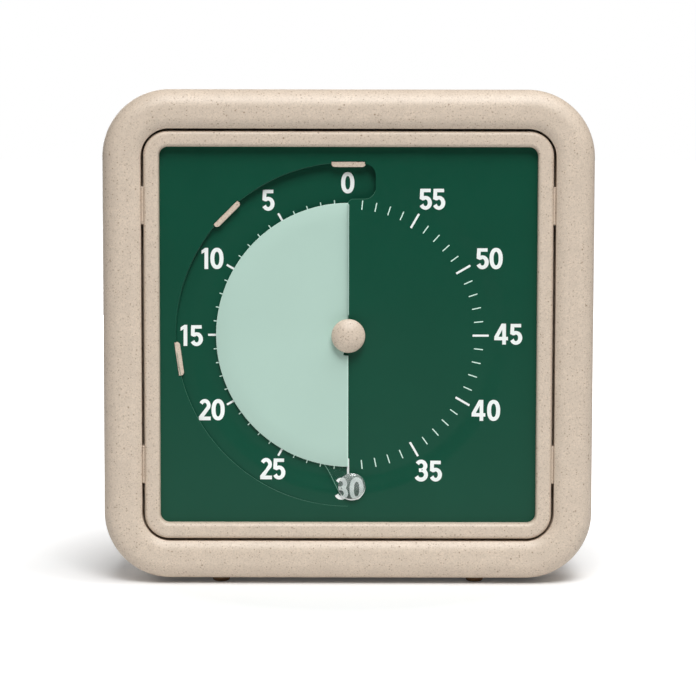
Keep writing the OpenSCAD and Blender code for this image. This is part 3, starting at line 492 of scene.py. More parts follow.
def ribbon(line, width, top, depth):
    """A narrow strip along the left of a flat line."""
    rows = []
    for i, p in enumerate(line):
        along = (Vector(line[min(i + 1, len(line) - 1)]) - Vector(line[max(i - 1, 0)])).normalized()
        side, z = Vector((-along.y, along.x)) * width, top(*p) if callable(top) else top
        rows.append([at(p[0] + side.x * k, p[1] + side.y * k, z - h)
                     for k, h in ((0, 0.0), (1, 0.0), (1, depth), (0, depth))])
    return lofted(rows)


def prism(outline, z0, z1):
    """A closed outline pulled straight towards the viewer."""
    return lofted([[at(x, y, z) for x, y in outline] for z in (z0, z1)])


# ---- Levels of the dial ----


def inner_level(a):
    """Level of the zone round the hub, which climbs from the slit all the way round to it."""
    if a < 180:
        return -RAMP_DROP + (RAMP_DROP - INNER_DROP) * a / 180
    return -INNER_DROP + INNER_DROP * (a - 180) / 180


def ring_level(a):
    """Level of the ring with the numbers, which climbs on the left half alone."""
    return -RAMP_DROP * (1 - a / 180) if a < 180 else 0.0


def zone_level(r, a):
    """Level of the inner zone and of its rise to the ring, from the flat part."""
    return inner_level(a) + (ring_level(a) - inner_level(a)) * smooth_step((r - ZONE_R) / ZONE_RISE)


def print_level(x, y):
    """Level of whatever is printed on the dial at a place."""
    r, a = math.hypot(x, y), math.degrees(math.atan2(-x, y)) % 360
    if 0 <= x < POCKET_W and POCKET_R < y < POCKET_TOP:
        return -RAMP_DROP
    return zone_level(r, a)


def printed(flat, faces):
    """A thin layer of print on the dial, its underside just in the plastic."""
    return slab(flat, faces, lambda x, y: FACE_Z + print_level(x, y) - PRINT_SUNK, PRINT_T)


def square_reach(a):
    """Distance from the dial's centre to the edge of its plate."""
    t = math.radians(a)
    dx, dy = abs(math.sin(t)), abs(math.cos(t))
    c = PLATE_HALF - PLATE_CORNER_R
    flat = PLATE_HALF / max(dx, dy)
    if min(dx, dy) * flat <= c:
        return flat
    b = c * (dx + dy)
    return b + math.sqrt(b * b - 2 * c * c + PLATE_CORNER_R ** 2)


def disc_level(a):
    """Level of the disc's back at an angle of the dial, from the flat part, at rest."""
    return inner_level(360 - (REST_ANGLE - a)) + DISC_REST


# ---- Finishes ----


class Finish:
    """A node-based material that starts as one Principled shader."""

    def __init__(self, name, colour, roughness, metallic=0.0, **sockets):
        self.material = bpy.data.materials.new(name)
        self.material.use_nodes = True
        self.tree = self.material.node_tree
        self.shader = self.tree.nodes["Principled BSDF"]
        self.colour = tuple(colour)[:3] + (1.0,)
        self.shader.inputs["Base Color"].default_value = self.colour
        self.shader.inputs["Roughness"].default_value = roughness
        self.shader.inputs["Metallic"].default_value = metallic
        for socket, value in sockets.items():
            self.shader.inputs[socket.replace("_", " ")].default_value = value
        self.place = self.add("ShaderNodeTexCoord").outputs["Object"]

    def add(self, kind, inputs=(), **fields):
        """A new node whose inputs are either values or the sockets that feed them."""
        node = self.tree.nodes.new(kind)
        for field, value in fields.items():
            setattr(node, field, value)
        for socket, value in dict(inputs).items():
            if hasattr(value, "is_linked"):
                self.tree.links.new(value, node.inputs[socket])
            else:
                node.inputs[socket].default_value = value
        return node

    def noise(self, scale, detail=3.0, roughness=0.5):
        """Soft noise, from 0 to 1."""
        return self.add("ShaderNodeTexNoise", {
            "Vector": self.place, "Scale": scale, "Detail": detail, "Roughness": roughness,
        }).outputs["Fac"]

    def ramp(self, value, low, high, out_low=0.0, out_high=1.0):
        """A value between two bounds, spread evenly over two others."""
        return self.add("ShaderNodeMapRange", {
            "Value": value, "From Min": low, "From Max": high, "To Min": out_low, "To Max": out_high,
        }, clamp=True).outputs["Result"]

    def maths(self, operation, a, b):
        """One sum, product, difference or choice of two values."""
        return self.add("ShaderNodeMath", {0: a, 1: b}, operation=operation).outputs[0]

    def mixed(self, factor, a, b):
        """A colour between two others."""
        node = self.add("ShaderNodeMix", {"Factor": factor}, data_type="RGBA")
        for socket, value in (("A", a), ("B", b)):
            target = [s for s in node.inputs if s.name == socket and s.type == "RGBA"][0]
            if hasattr(value, "is_linked"):
                self.tree.links.new(value, target)
            else:
                target.default_value = value
        return [s for s in node.outputs if s.type == "RGBA"][0]

    def shade(self, factor):
        """The base colour times a factor."""
        return tuple(min(1.0, c * factor) for c in self.colour[:3]) + (1.0,)

    def paint(self, colour):
        """Feeds the shader's colour."""
        self.tree.links.new(colour, self.shader.inputs["Base Color"])

    def gloss(self, roughness):
        """Feeds the shader's roughness."""
        self.tree.links.new(roughness, self.shader.inputs["Roughness"])

    def bump(self, height, distance, strength):
        """Raises fine texture by a distance in metres."""
        normal = self.add("ShaderNodeBump", {
            "Height": height, "Distance": distance, "Strength": strength,
        }).outputs["Normal"]
        self.tree.links.new(normal, self.shader.inputs["Normal"])


# Cells to a metre, size of a speck in its cell, how rare specks are and how dark they print
SPECK_LAYERS = ((1900.0, 0.44, 0.62, 0.5), (1050.0, 0.38, 0.74, 0.68), (600.0, 0.3, 0.85, 0.85))


def speckled_plastic(name, colour, speck):
    """Matt bioplastic with fine brown specks and soft mottling."""
    f = Finish(name, colour, 0.5, Specular_IOR_Level=0.75)
    soft = f.ramp(f.noise(160.0, 5.0, 0.65), 0.35, 0.65)
    fine = f.ramp(f.noise(1500.0, 3.0, 0.7), 0.34, 0.66)
    base = f.mixed(soft, f.shade(0.95), f.shade(1.06))
    base = f.mixed(f.maths("MULTIPLY", fine, 0.9), base, f.shade(0.82))
    for scale, size, rarity, depth in SPECK_LAYERS:
        cells = f.add("ShaderNodeTexVoronoi", {"Vector": f.place, "Scale": scale, "Randomness": 1.0})
        spot = f.ramp(cells.outputs["Distance"], size, size * 0.4)
        pick = f.add("ShaderNodeSeparateColor", {"Color": cells.outputs["Color"]}).outputs[0]
        chosen = f.ramp(pick, rarity, rarity + 0.15)
        base = f.mixed(f.maths("MULTIPLY", f.maths("MULTIPLY", spot, chosen), depth), base,
                       tuple(speck)[:3] + (1.0,))
    f.paint(base)
    f.gloss(f.ramp(fine, 0.0, 1.0, 0.46, 0.58))
    f.bump(f.noise(1300.0, 3.0, 0.6), 0.00004, 0.5)
    return f.material


def satin_plastic(name, colour, roughness=0.4, change=0.04, specular=0.5, grain=0.00001):
    """Even moulded plastic with a faint cloudiness and a fine texture."""
    f = Finish(name, colour, roughness, Specular_IOR_Level=specular)
    cloud = f.ramp(f.noise(45.0, 3.0, 0.5), 0.3, 0.7)
    f.paint(f.mixed(cloud, f.shade(1 - change), f.shade(1 + change)))
    f.gloss(f.ramp(f.noise(700.0), 0.3, 0.7, roughness - 0.03, roughness + 0.04))
    if grain:
        f.bump(f.noise(2200.0, 2.0), grain, 0.4)
    return f.material


def metal(name, colour, roughness, ring_scale=None):
    """Bare metal with fine drawn or turned marks."""
    f = Finish(name, colour, roughness, metallic=1.0)
    marks = f.noise(500.0, 4.0, 0.6)
    if ring_scale:
        marks = f.add("ShaderNodeTexWave", {
            "Vector": f.place, "Scale": ring_scale, "Distortion": 2.0, "Detail": 2.0,
        }, wave_type="RINGS", rings_direction="Y").outputs["Fac"]
    f.paint(f.mixed(f.ramp(f.noise(120.0), 0.3, 0.7), f.shade(0.9), f.shade(1.06)))
    f.gloss(f.ramp(marks, 0.2, 0.8, roughness * 0.8, roughness * 1.3))
    f.bump(marks, 0.00001, 0.4)
    return f.material


def wound_copper():
    """Fine enamelled wire, wound side by side along x."""
    f = Finish("enamelled_copper_wire", (0.62, 0.24, 0.09), 0.3, metallic=1.0)
    turns = f.add("ShaderNodeTexWave", {"Vector": f.place, "Scale": 1600.0, "Distortion": 0.4},
                  wave_type="BANDS", bands_direction="X").outputs["Fac"]
    f.paint(f.mixed(turns, f.shade(0.55), f.shade(1.1)))
    f.bump(turns, 0.00004, 0.8)
    return f.material


def board_laminate():
    """Green solder mask with paler copper tracks beneath it."""
    f = Finish("board_laminate", (0.02, 0.16, 0.05), 0.32)
    cells = f.add("ShaderNodeTexVoronoi", {"Vector": f.place, "Scale": 260.0, "Randomness": 0.35},
                  feature="DISTANCE_TO_EDGE").outputs["Distance"]
    tracks = f.ramp(cells, 0.06, 0.09, 1.0, 0.0)
    f.paint(f.mixed(tracks, f.shade(1.0), (0.05, 0.27, 0.09, 1.0)))
    f.bump(tracks, 0.00003, 0.6)
    return f.material


# The dome's clear plastic: where the painted highlight crescent at its rim lies and how bright it is, and how
# its veil, a faint haze with a painted reflection over it, grows from its middle to its top. Places are in
# millimetres from its middle.
RIM_LIGHT_MIDDLE = (0.1, 0.7)
RIM_LIGHT_R = (5.25, 5.6)
RIM_LIGHT = (0.0, 0.9)
PAINTED_SHEEN_HEIGHT = (-1.0, 5.0)
HAZE_AND_PAINTED_SHEEN = (0.03, 0.17)


def magnifying_plastic(name, tint, middle):
    """Clear moulded plastic with a faint haze, paler towards its top by a painted reflection, and a painted
    highlight crescent at its rim.
    """
    f = Finish(name, tint, 0.11, IOR=1.46)
    x, _, z = middle
    flat = f.add("ShaderNodeVectorMath", {0: f.place, 1: (1.0, 0.0, 1.0)}, operation="MULTIPLY").outputs[0]
    shifted = (x - RIM_LIGHT_MIDDLE[0] * MM, 0.0, z + RIM_LIGHT_MIDDLE[1] * MM)
    lens = f.add("ShaderNodeVectorMath", {0: flat, 1: shifted}, operation="DISTANCE").outputs["Value"]
    # painted highlight: a pale crescent at the dome's rim where it would gather light
    painted_rim_highlight = f.ramp(lens, *(r * MM for r in RIM_LIGHT_R), *RIM_LIGHT)
    height = f.add("ShaderNodeSeparateXYZ", {"Vector": f.place}).outputs["Z"]
    # painted reflection: the veil grows paler towards the dome's top, over a faint even haze
    haze_and_painted_sheen = f.ramp(height, *(z + h * MM for h in PAINTED_SHEEN_HEIGHT), *HAZE_AND_PAINTED_SHEEN)
    veil = f.maths("MAXIMUM", painted_rim_highlight, haze_and_painted_sheen)
    f.tree.links.new(f.maths("SUBTRACT", 1.0, veil), f.shader.inputs["Transmission Weight"])
    return f.material


def thin_sheet(name, tint):
    """A thin clear sheet, all but invisible face on."""
    f = Finish(name, [0.3 * c for c in tint], 0.2, Alpha=0.012, Specular_IOR_Level=0.2)
    f.bump(f.noise(400.0, 1.0), 0.000002, 0.1)
    return f.material


def rubber(name, colour):
    """Matt moulded rubber with a soft grain."""
    f = Finish(name, colour, 0.62)
    f.paint(f.mixed(f.ramp(f.noise(600.0), 0.3, 0.7), f.shade(0.85), f.shade(1.15)))
    f.gloss(f.ramp(f.noise(900.0), 0.3, 0.7, 0.52, 0.72))
    f.bump(f.noise(1800.0), 0.00003, 0.6)
    return f.material


def case_plastic(context):
    """The speckled plastic that the frame, the bezel, the knob and the back share."""
    known = bpy.data.materials.get("speckled_case_plastic")
    settings = context.scene.timer.case
    return known or speckled_plastic("speckled_case_plastic", settings.plastic, settings.speck)


def ink(context):
    """The white print of the numbers and the five minute marks."""
    return bpy.data.materials.get("white_print") or satin_plastic(
        "white_print", context.scene.timer.dial.ink, 0.5, change=0.015, specular=0.3)


def highlight_strip_plastic(name, colour, roughness=0.3):
    """Even plastic for the narrow painted highlight strips along edges."""
    return satin_plastic(name, colour, roughness, change=0.02, specular=0.4, grain=0.0)


def dress(nodes, finish):
    """Gives solids that keep their shape a finish of their own."""
    for name in nodes:
        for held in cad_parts[name].material_slots:
            held.material = finish


# ---- Operators, one for each piece or group of like pieces ----


class TIMER_OT_frame(bpy.types.Operator):
    """Builds the rounded front frame of the case"""

    bl_idname = "timer.frame"
    bl_label = "Front frame"

    def execute(self, context):
        s = context.scene.timer.case
        band, outer, inner = s.band / MM, s.outer_round / MM, s.inner_round / MM
        opening, back = CASE_CORNER_R - band, CASE_CORNER_R - WALL
        ledge = opening + FRAME_LEDGE
        profile = [(opening, CHASSIS_Z)]
        profile += arc(opening + inner * math.cos(math.radians(INNER_EDGE)), FRONT_Z - inner, inner,
                       180 - INNER_EDGE, 90, 8)
        profile += arc(CASE_CORNER_R - outer, FRONT_Z - outer, outer, 90, 0, 16)
        profile += arc(CASE_CORNER_R - PARTING_ROUND, PARTING_Z + PARTING_ROUND, PARTING_ROUND, 0, -90, 3)
        profile.append((back, PARTING_Z))
        profile += arc(back - outer + WALL, FRONT_Z - outer, outer - WALL, 0, 90, 6)
        profile += [(ledge, FRONT_Z - WALL), (ledge, CHASSIS_Z)]
        piece("case_frame", *square_sweep(profile, CASE_REACH, 28), case_plastic(context), "case",
              "case_plastic", ["outer_frame"])
        return {"FINISHED"}


class TIMER_OT_bezel(bpy.types.Operator):
    """Builds the bezel round the dial and its four snap tongues"""

    bl_idname = "timer.bezel"
    bl_label = "Bezel"

    def execute(self, context):
        r = context.scene.timer.case.bezel_round / MM
        inner, outer = BEZEL_CORNER_R - BEZEL_W, BEZEL_CORNER_R
        profile = [(inner, FACE_Z)]
        profile += arc(inner + r, BEZEL_FRONT_Z - r, r, 180, 90, 7)
        profile += arc(outer - r, BEZEL_FRONT_Z - r, r, 90, 0, 7)
        profile += [(outer, LEDGE_Z), (outer - BEZEL_LIP, LEDGE_Z), (outer - BEZEL_LIP, FACE_Z)]
        plastic = case_plastic(context)
        piece("bezel_ring", *square_sweep(profile, BEZEL_REACH, 20), plastic, "case", "case_plastic",
              ["bezel"])
        for name, side, y in (("upper_left", -1, TONGUE_Y), ("upper_right", 1, TONGUE_Y),
                              ("lower_left", -1, -TONGUE_Y), ("lower_right", 1, -TONGUE_Y)):
            piece("snap_tongue_" + name, *self.tongue(side, y), plastic, "case", "case_plastic", sharp=25)
        return {"FINISHED"}

    @staticmethod
    def tongue(side, y):
        """A snap tongue: its nose points away from the dial, and its ends are eased."""
        edge = BEZEL_REACH + BEZEL_CORNER_R
        low = TONGUE_LOW_Z
        eased = TONGUE_HALF - TONGUE_EASE
        rows = []
        for along, drop in ((-TONGUE_HALF, TONGUE_EASE), (-eased, 0.0), (eased, 0.0),
                            (TONGUE_HALF, TONGUE_EASE)):
            top = TONGUE_TOP_Z - drop
            rows.append([at(side * (edge + x), y + along, z) for x, z in (
                (-TONGUE_ROOT, low), (-TONGUE_ROOT, top), (TONGUE_T - TONGUE_CHAMFER, top),
                (TONGUE_T, top - TONGUE_CHAMFER), (TONGUE_T, low + NOSE_ROOT_H),
                (NOSE_REACH, low + NOSE_TIP_H), (NOSE_REACH, low))])
        return lofted(rows)


class TIMER_OT_dial(bpy.types.Operator):
    """Builds the green dial with its ramp, its slit and its pocket"""

    bl_idname = "timer.dial"
    bl_label = "Dial"

    @staticmethod
    def section(a, left):
        """Section of the dial at an angle, from its hole to the edge of its plate and back."""
        rise = [ZONE_R + ZONE_RISE * i / ZONE_STEPS for i in range(1, ZONE_STEPS + 1)]
        top = [(r, zone_level(r, a)) for r in [*INNER_RADII, *rise]]
        low = [(r, z - DIAL_T) for r, z in reversed(top)]
        if left:
            ring = ring_level(a)
            f = RECESS_ROUND * min(1.0, -ring / FULL_ROUND_DROP)
            top.append((RECESS_R - RECESS_SEAM, ring))
            top += [(RECESS_R + f * (1 - math.cos(t)), -f * (1 - math.sin(t)))
                    for t in (0, math.pi / 6, math.pi / 3, math.pi / 2)]
            top.append((RECESS_R + f + RECESS_RIM, 0.0))
            under = [(RECESS_R + SKIRT_T, z) for z in (-PLATE_T, min(-PLATE_T, ring - DIAL_T))]
        else:
            under = [(ZONE_R + ZONE_RISE + FLAT_SKIRT_T, z) for z in (-PLATE_T, -DIAL_T)]
        reach = square_reach(a)
        outer = [(reach - PLATE_RIM, 0.0), (reach, 0.0), (reach, -PLATE_T)]
        return [on_dial(r, a, FACE_Z + z) for r, z in top + outer + under + low]

    @staticmethod
    def notch(a):
        """Outline of the notch for a hook's head."""
        t, w = math.radians(a), HOOK_LENGTH / 2 + HOOK_GAP
        near, far = HOOK_INNER - HOOK_GAP, HOOK_OUTER + HOOK_GAP
        return [(x * math.cos(t) - y * math.sin(t), x * math.sin(t) + y * math.cos(t))
                for x, y in ((-w, near), (w, near), (w, far), (-w, far))]

    @staticmethod
    def lip_corner(steps):
        """Where the slit opens into the pocket."""
        return arc(LIP_CORNER_R, POCKET_R - LIP_CORNER_R, LIP_CORNER_R, 180, 90, steps)

    @staticmethod
    def lower_corner(start, end, steps):
        """The pocket's lower right corner."""
        return arc(POCKET_W - POCKET_CORNER_R, POCKET_R + POCKET_CORNER_R, POCKET_CORNER_R,
                   start, end, steps)

    @staticmethod
    def upper_corner():
        """The pocket's upper right corner."""
        return arc(POCKET_W - POCKET_CORNER_R, POCKET_TOP - POCKET_CORNER_R, POCKET_CORNER_R, 0, 90, 14)

    @staticmethod
    def cut(context, obj, openings, sharp):
        """Cuts straight openings, each an outline and a depth below the face, out of a piece."""
        cutters = []
        for outline, depth in openings:
            block = prism(outline, FACE_Z - depth, FACE_Z + CUT_ABOVE)
            cutter = bpy.data.objects.new("cutter", solid_mesh("cutter", *block))
            context.scene.collection.objects.link(cutter)
            opening = obj.modifiers.new("opening", "BOOLEAN")
            opening.operation, opening.solver, opening.object = "DIFFERENCE", "EXACT", cutter
            cutters.append(cutter)
        context.view_layer.update()
        mesh = bpy.data.meshes.new_from_object(obj.evaluated_get(context.evaluated_depsgraph_get()))
        obj.modifiers.clear()
        obj.data = mesh
        for cutter in cutters:
            bpy.data.objects.remove(cutter)
        mesh.shade_smooth()
        mesh.set_sharp_from_angle(angle=math.radians(sharp))

    def execute(self, context):
        green = satin_plastic("dial_green_plastic", context.scene.timer.dial.green, 0.35, change=0.03,
                              specular=0.31, grain=0.0)
        ramp = [self.section(a, True) for a in range(0, 181, SECTION_STEP)]
        flat = [self.section(a, False) for a in range(180, 361, SECTION_STEP)]
        left = piece("dial_ramp_half", *lofted(ramp), green, "case", "dial_green", ["dial_plate"])
        right = piece("dial_flat_half", *lofted(flat), green, "case", "dial_green", sharp=25)
        pocket = [(POCKET_CUT_X, POCKET_R - LIP_CORNER_R), *self.lip_corner(8),
                  *self.lower_corner(-90, 0, 14), *self.upper_corner(), (POCKET_CUT_X, POCKET_TOP)]
        notches = [(self.notch(a), NOTCH_CUT_DEPTH) for a in HOOK_ANGLES]
        self.cut(context, left, notches, 32)
        self.cut(context, right, [(pocket, POCKET_CUT_DEPTH), notches[0]], 25)
        piece("dial_pocket_tray", *self.tray(), green, "case", "dial_green", sharp=25)
        self.dial_edge_highlights()
        return {"FINISHED"}

    def tray(self):
        """The floor under the pocket and the wall round it."""
        wall = [(POCKET_W - TRAY_INSET, POCKET_R - TRAY_FOOT), *self.lower_corner(-60, 0, 10),
                *self.upper_corner()]
        floor_z = FACE_Z - RAMP_DROP
        low, high = floor_z - TRAY_WALL_FOOT, FACE_Z - TRAY_WALL_TOP
        floor = prism([(0.0, POCKET_R - TRAY_FOOT), *wall, (0.0, POCKET_TOP)], floor_z - DIAL_T, floor_z)
        sections = []
        for p in wall[1:]:
            out = Vector(p) + self.outward(p) * TRAY_WALL_T
            sections.append([at(*q, z) for q, z in ((p, low), (p, high), (out, high), (out, low))])
        return joined(floor, lofted(sections))

    @staticmethod
    def outward(p):
        """Direction out of the pocket at a point of its wall."""
        cx = min(p[0], POCKET_W - POCKET_CORNER_R)
        cy = min(max(p[1], POCKET_R + POCKET_CORNER_R), POCKET_TOP - POCKET_CORNER_R)
        v = Vector((p[0] - cx, p[1] - cy))
        return v.normalized() if v.length > 1e-6 else Vector((0.0, 1.0))

    def dial_edge_highlights(self):
        """Painted highlights: pale lines along the pocket's lip, the recess and the slit, where their edges
        would catch the light.
        """
        lit = highlight_strip_plastic("dial_highlight_green", EDGE_HIGHLIGHT_GREEN)
        pale = highlight_strip_plastic("dial_slit_highlight", SLIT_HIGHLIGHT_PALE, 0.4)
        lip = [(LIP_LINE_X, POCKET_R - LIP_CORNER_R), *self.lip_corner(10),
               *self.lower_corner(-90, -15, 12)]
        recess = [on_dial_flat(RECESS_R + RECESS_RIM, a) for a in RECESS_LINE_ANGLES]
        slit = [(SLIT_LINE_X, NOTCH_R), (SLIT_LINE_X, POCKET_R - LIP_CORNER_R)]
        for name, line, width, finish in (("pocket_lip_edge", lip, LIP_LINE_W, lit),
                                          ("recess_edge", recess, RECESS_LINE_W, lit),
                                          ("slit_edge", slit, SLIT_LINE_W, pale)):
            piece(name, *ribbon(line, width, FACE_Z + LINE_LIFT, LINE_DEPTH), finish, "case",
                  "dial_green", sharp=40)


class TIMER_OT_marks(bpy.types.Operator):
    """Prints the minute marks on the dial"""

    bl_idname = "timer.marks"
    bl_label = "Minute marks"

    def execute(self, context):
        s = context.scene.timer.dial
        fine = satin_plastic("mint_print", s.fine_ink, 0.5, change=0.015, specular=0.3, grain=0.0)
        between = [m for m in range(60) if m % 5]
        piece("minute_marks", *self.strokes(between, s.minor_inner / MM, s.minor_outer / MM,
                                            s.minor_width / MM), fine, "case")
        piece("five_minute_marks", *self.strokes(range(5, 60, 5), s.major_inner / MM, s.major_outer / MM,
                                                 s.major_width / MM), ink(context), "case")
        return {"FINISHED"}

    @staticmethod
    def strokes(minutes, r0, r1, width):
        """Short strokes with rounded ends, each on its minute."""
        x0, y0 = width / 2 - STROKE_ROUND, (r1 - r0) / 2 - STROKE_ROUND
        outline = []
        for side, end, a in ((1, 1, 0), (-1, 1, 90), (-1, -1, 180), (1, -1, 270)):
            outline += arc(side * x0, end * y0, STROKE_ROUND, a, a + 90, 3)
        points, faces = [], []
        for minute in minutes:
            t = math.radians(6 * minute)
            out, across = Vector((-math.sin(t), math.cos(t))), Vector((math.cos(t), math.sin(t)))
            first = len(points)
            points += [out * (r0 + r1) / 2 + across * x + out * y for x, y in outline]
            faces.append(tuple(range(first, len(points))))
        return printed(points, faces)


class TIMER_OT_numbers(bpy.types.Operator):
    """Prints the numbers from 0 to 55 on the dial"""

    bl_idname = "timer.numbers"
    bl_label = "Dial numbers"

    # Middle of each number, in millimetres from the dial's centre
    PLACES = {
        "0": (-0.3, 59.05), "5": (-31.1, 52.35), "10": (-52.65, 29.7), "15": (-60.8, -0.2),
        "20": (-53.05, -29.2), "25": (-29.35, -52.25), "30": (0.4, -60.05), "35": (31.3, -52.85),
        "40": (53.6, -29.1), "45": (62.05, 0.7), "50": (54.55, 30.0), "55": (32.3, 52.95),
    }
    # Width of each digit, the gap after it, and what one number's digits stand further apart
    WIDTHS = {"0": 5.25, "1": 2.6, "2": 4.6, "3": 5.14, "4": 5.3, "5": 4.95}
    GAPS = {"1": 0.75, "2": 0.25, "3": 0.5, "4": 0.6, "5": 0.2}
    WIDER = {"15": 0.35}
    # How far above a digit's foot its middle is
    MIDDLE = 4.1
    # Points held in each number's print, so that it follows the ramp: pitch, shift and count
    HELD_PITCH = 0.6
    HELD_SHIFT = (0.013, 0.017)
    HELD_COLUMNS = range(-11, 12)
    HELD_ROWS = range(-8, 9)

    @staticmethod
    def bowl(cx, cy, outer, inner, outer_ends, inner_ends, steps=22, power=1.0):
        """A curved stroke between an outer and an inner ellipse, as quads."""
        def edge(radii, ends):
            points = []
            for i in range(steps + 1):
                t = math.radians(ends[0] + (ends[1] - ends[0]) * i / steps)
                c, s = math.cos(t), math.sin(t)
                points.append((cx + radii[0] * math.copysign(abs(c) ** power, c),
                               cy + radii[1] * math.copysign(abs(s) ** power, s)))
            return points
        a, b = edge(outer, outer_ends), edge(inner, inner_ends)
        return [[a[i], a[i + 1], b[i + 1], b[i]] for i in range(steps)]

    def digit(self, d):
        """The strokes of a digit as polygons, from its lower left corner."""
        if d == "0":
            return self.bowl(2.62, 4.1, (2.55, 4.14), (0.97, 2.62), (0, 360), (0, 360), 48, 0.9)
        if d == "1":
            return [[(1.15, 0), (2.6, 0), (2.6, 8.2), (1.45, 8.2), (0.0, 7.2), (0.0, 5.85), (1.15, 6.5)]]
        if d == "2":
            return self.bowl(2.3, 5.8, (2.25, 2.5), (0.8, 1.05), (152, -28), (165, -24)) + [
                [(0, 0), (4.6, 0), (4.6, 1.45), (1.98, 1.45), (4.287, 4.626), (3.031, 5.373), (0.0, 1.4)]]
        if d == "3":
            return self.bowl(2.48, 6.0, (2.41, 2.38), (0.85, 0.95), (149, -62), (166, -88)) + self.bowl(
                2.41, 2.6, (2.72, 2.7), (1.16, 1.12), (66, -154), (88, -166)) + [
                [(1.61, 3.65), (2.7, 3.65), (2.7, 5.02), (1.61, 5.02)]]
        if d == "4":
            return [[(0, 1.64), (5.3, 1.64), (5.3, 3.0), (0.03, 3.0)],
                    [(3.09, 0), (4.51, 0), (4.51, 8.13), (3.09, 8.13)],
                    [(0.03, 3.0), (1.64, 3.0), (3.09, 5.8), (3.6, 8.13), (2.82, 8.13)]]
        return self.bowl(2.48, 2.62, (2.47, 2.7), (0.86, 1.28), (120, -153), (138, -166)) + [
            [(0.43, 8.05), (4.46, 8.05), (4.46, 6.72), (0.36, 6.72)],
            [(0.36, 6.8), (1.82, 6.8), (1.74, 4.85), (2.1, 4.2), (1.5, 3.5), (0.25, 4.09)]]

    def execute(self, context):
        points, shapes = [], []
        for number, (cx, cy) in self.PLACES.items():
            x = 0.0
            starts = []
            for i, d in enumerate(number):
                starts.append(x)
                x += self.WIDTHS[d]
                if i + 1 < len(number):
                    x += self.GAPS[d] + self.WIDER.get(number, 0.0)
            for d, start in zip(number, starts):
                for shape in self.digit(d):
                    first = len(points)
                    points += [Vector((cx - x / 2 + start + px, cy - self.MIDDLE + py)) for px, py in shape]
                    shapes.append(list(range(first, len(points))))
        strokes = [[points[i] for i in shape] for shape in shapes]
        for cx, cy in self.PLACES.values():
            points += [Vector((cx + self.HELD_PITCH * i + self.HELD_SHIFT[0],
                               cy + self.HELD_PITCH * j + self.HELD_SHIFT[1]))
                       for i in self.HELD_COLUMNS for j in self.HELD_ROWS]
        flat, _, faces, *_ = delaunay_2d_cdt(points, [], shapes, INSIDE_ONLY, 1e-5)
        middles = [sum((flat[i] for i in f), Vector((0, 0))) / len(f) for f in faces]
        inked = [tuple(f) for f, middle in zip(faces, middles) if any(inside(middle, s) for s in strokes)]
        piece("dial_numbers", *printed(flat, inked), ink(context), "case")
        return {"FINISHED"}


class TIMER_OT_disc(bpy.types.Operator):
    """Builds the countdown disc, which winds round its hub like a screw"""

    bl_idname = "timer.disc"
    bl_label = "Countdown disc"

    # Angles from the leading edge at which the sheet is drawn; the notch ends between two of them
    DRAWN_AT = (0, 5, 10, NOTCH_ANGLE, NOTCH_ANGLE + 0.02, *range(15, DISC_ARC + 1))

    def execute(self, context):
        e, t = DISC_RIM_ROUND, DISC_T
        middle = DISC_RIM_MIDDLE * e
        rim = [(DISC_R - e, t), (DISC_R - middle, t - middle), (DISC_R, t - e), (DISC_R, e),
               (DISC_R - e, 0.0)]
        sections = []
        for i in self.DRAWN_AT:
            a = REST_ANGLE - i
            inner = NOTCH_R if i <= NOTCH_ANGLE else DISC_RADII[0]
            top = [(max(r, inner), t) for r in DISC_RADII]
            under = [(max(r, inner), 0.0) for r in reversed(DISC_RADII)]
            sections.append([on_dial(r, a, FACE_Z + disc_level(a) + h) for r, h in top + rim + under])
        tint = context.scene.timer.disc.mint
        mint = satin_plastic("mint_disc", tint, 0.45, change=0.012, specular=0.4)
        # painted highlight along the disc's cut edges
        pale = satin_plastic("mint_edge_highlight", [c * CUT_EDGE_HIGHLIGHT for c in tint], 0.4, change=0.01)
        piece("countdown_disc_sheet", *lofted(sections), mint, "disc", "disc_mint", ["countdown_disc"],
              sharp=50)
        piece("disc_highlight_strips", *self.disc_edge_highlights(), pale, "disc", "disc_mint", sharp=30)
        return {"FINISHED"}

    @staticmethod
    def disc_edge_highlights():
        """Painted highlights along the leading edge and the rim: paler strips where the cut edge catches the
        light.
        """
        low = FACE_Z + DISC_REST
        high = low + DISC_T + HIGHLIGHT_LIFT
        front = [[at(-CUT_EDGE_W, y, high), at(CUT_EDGE_PROUD, y, high), at(CUT_EDGE_PROUD, y, low),
                  at(-CUT_EDGE_W, y, low)] for y in (-NOTCH_R, -DISC_R + CUT_EDGE_SHORT)]
        rim = []
        for i in range(0, DISC_ARC + 1, 2):
            a = REST_ANGLE - i
            z = FACE_Z + disc_level(a)
            rim.append([on_dial(r, a, z + h) for r, h in (
                (DISC_R - CUT_RIM_W, DISC_T + HIGHLIGHT_LIFT), (DISC_R + HIGHLIGHT_LIFT, DISC_T - CUT_RIM_DROP),
                (DISC_R + HIGHLIGHT_LIFT, CUT_RIM_FOOT), (DISC_R - CUT_RIM_W, CUT_RIM_FOOT))])
        return joined(lofted(front), lofted(rim))


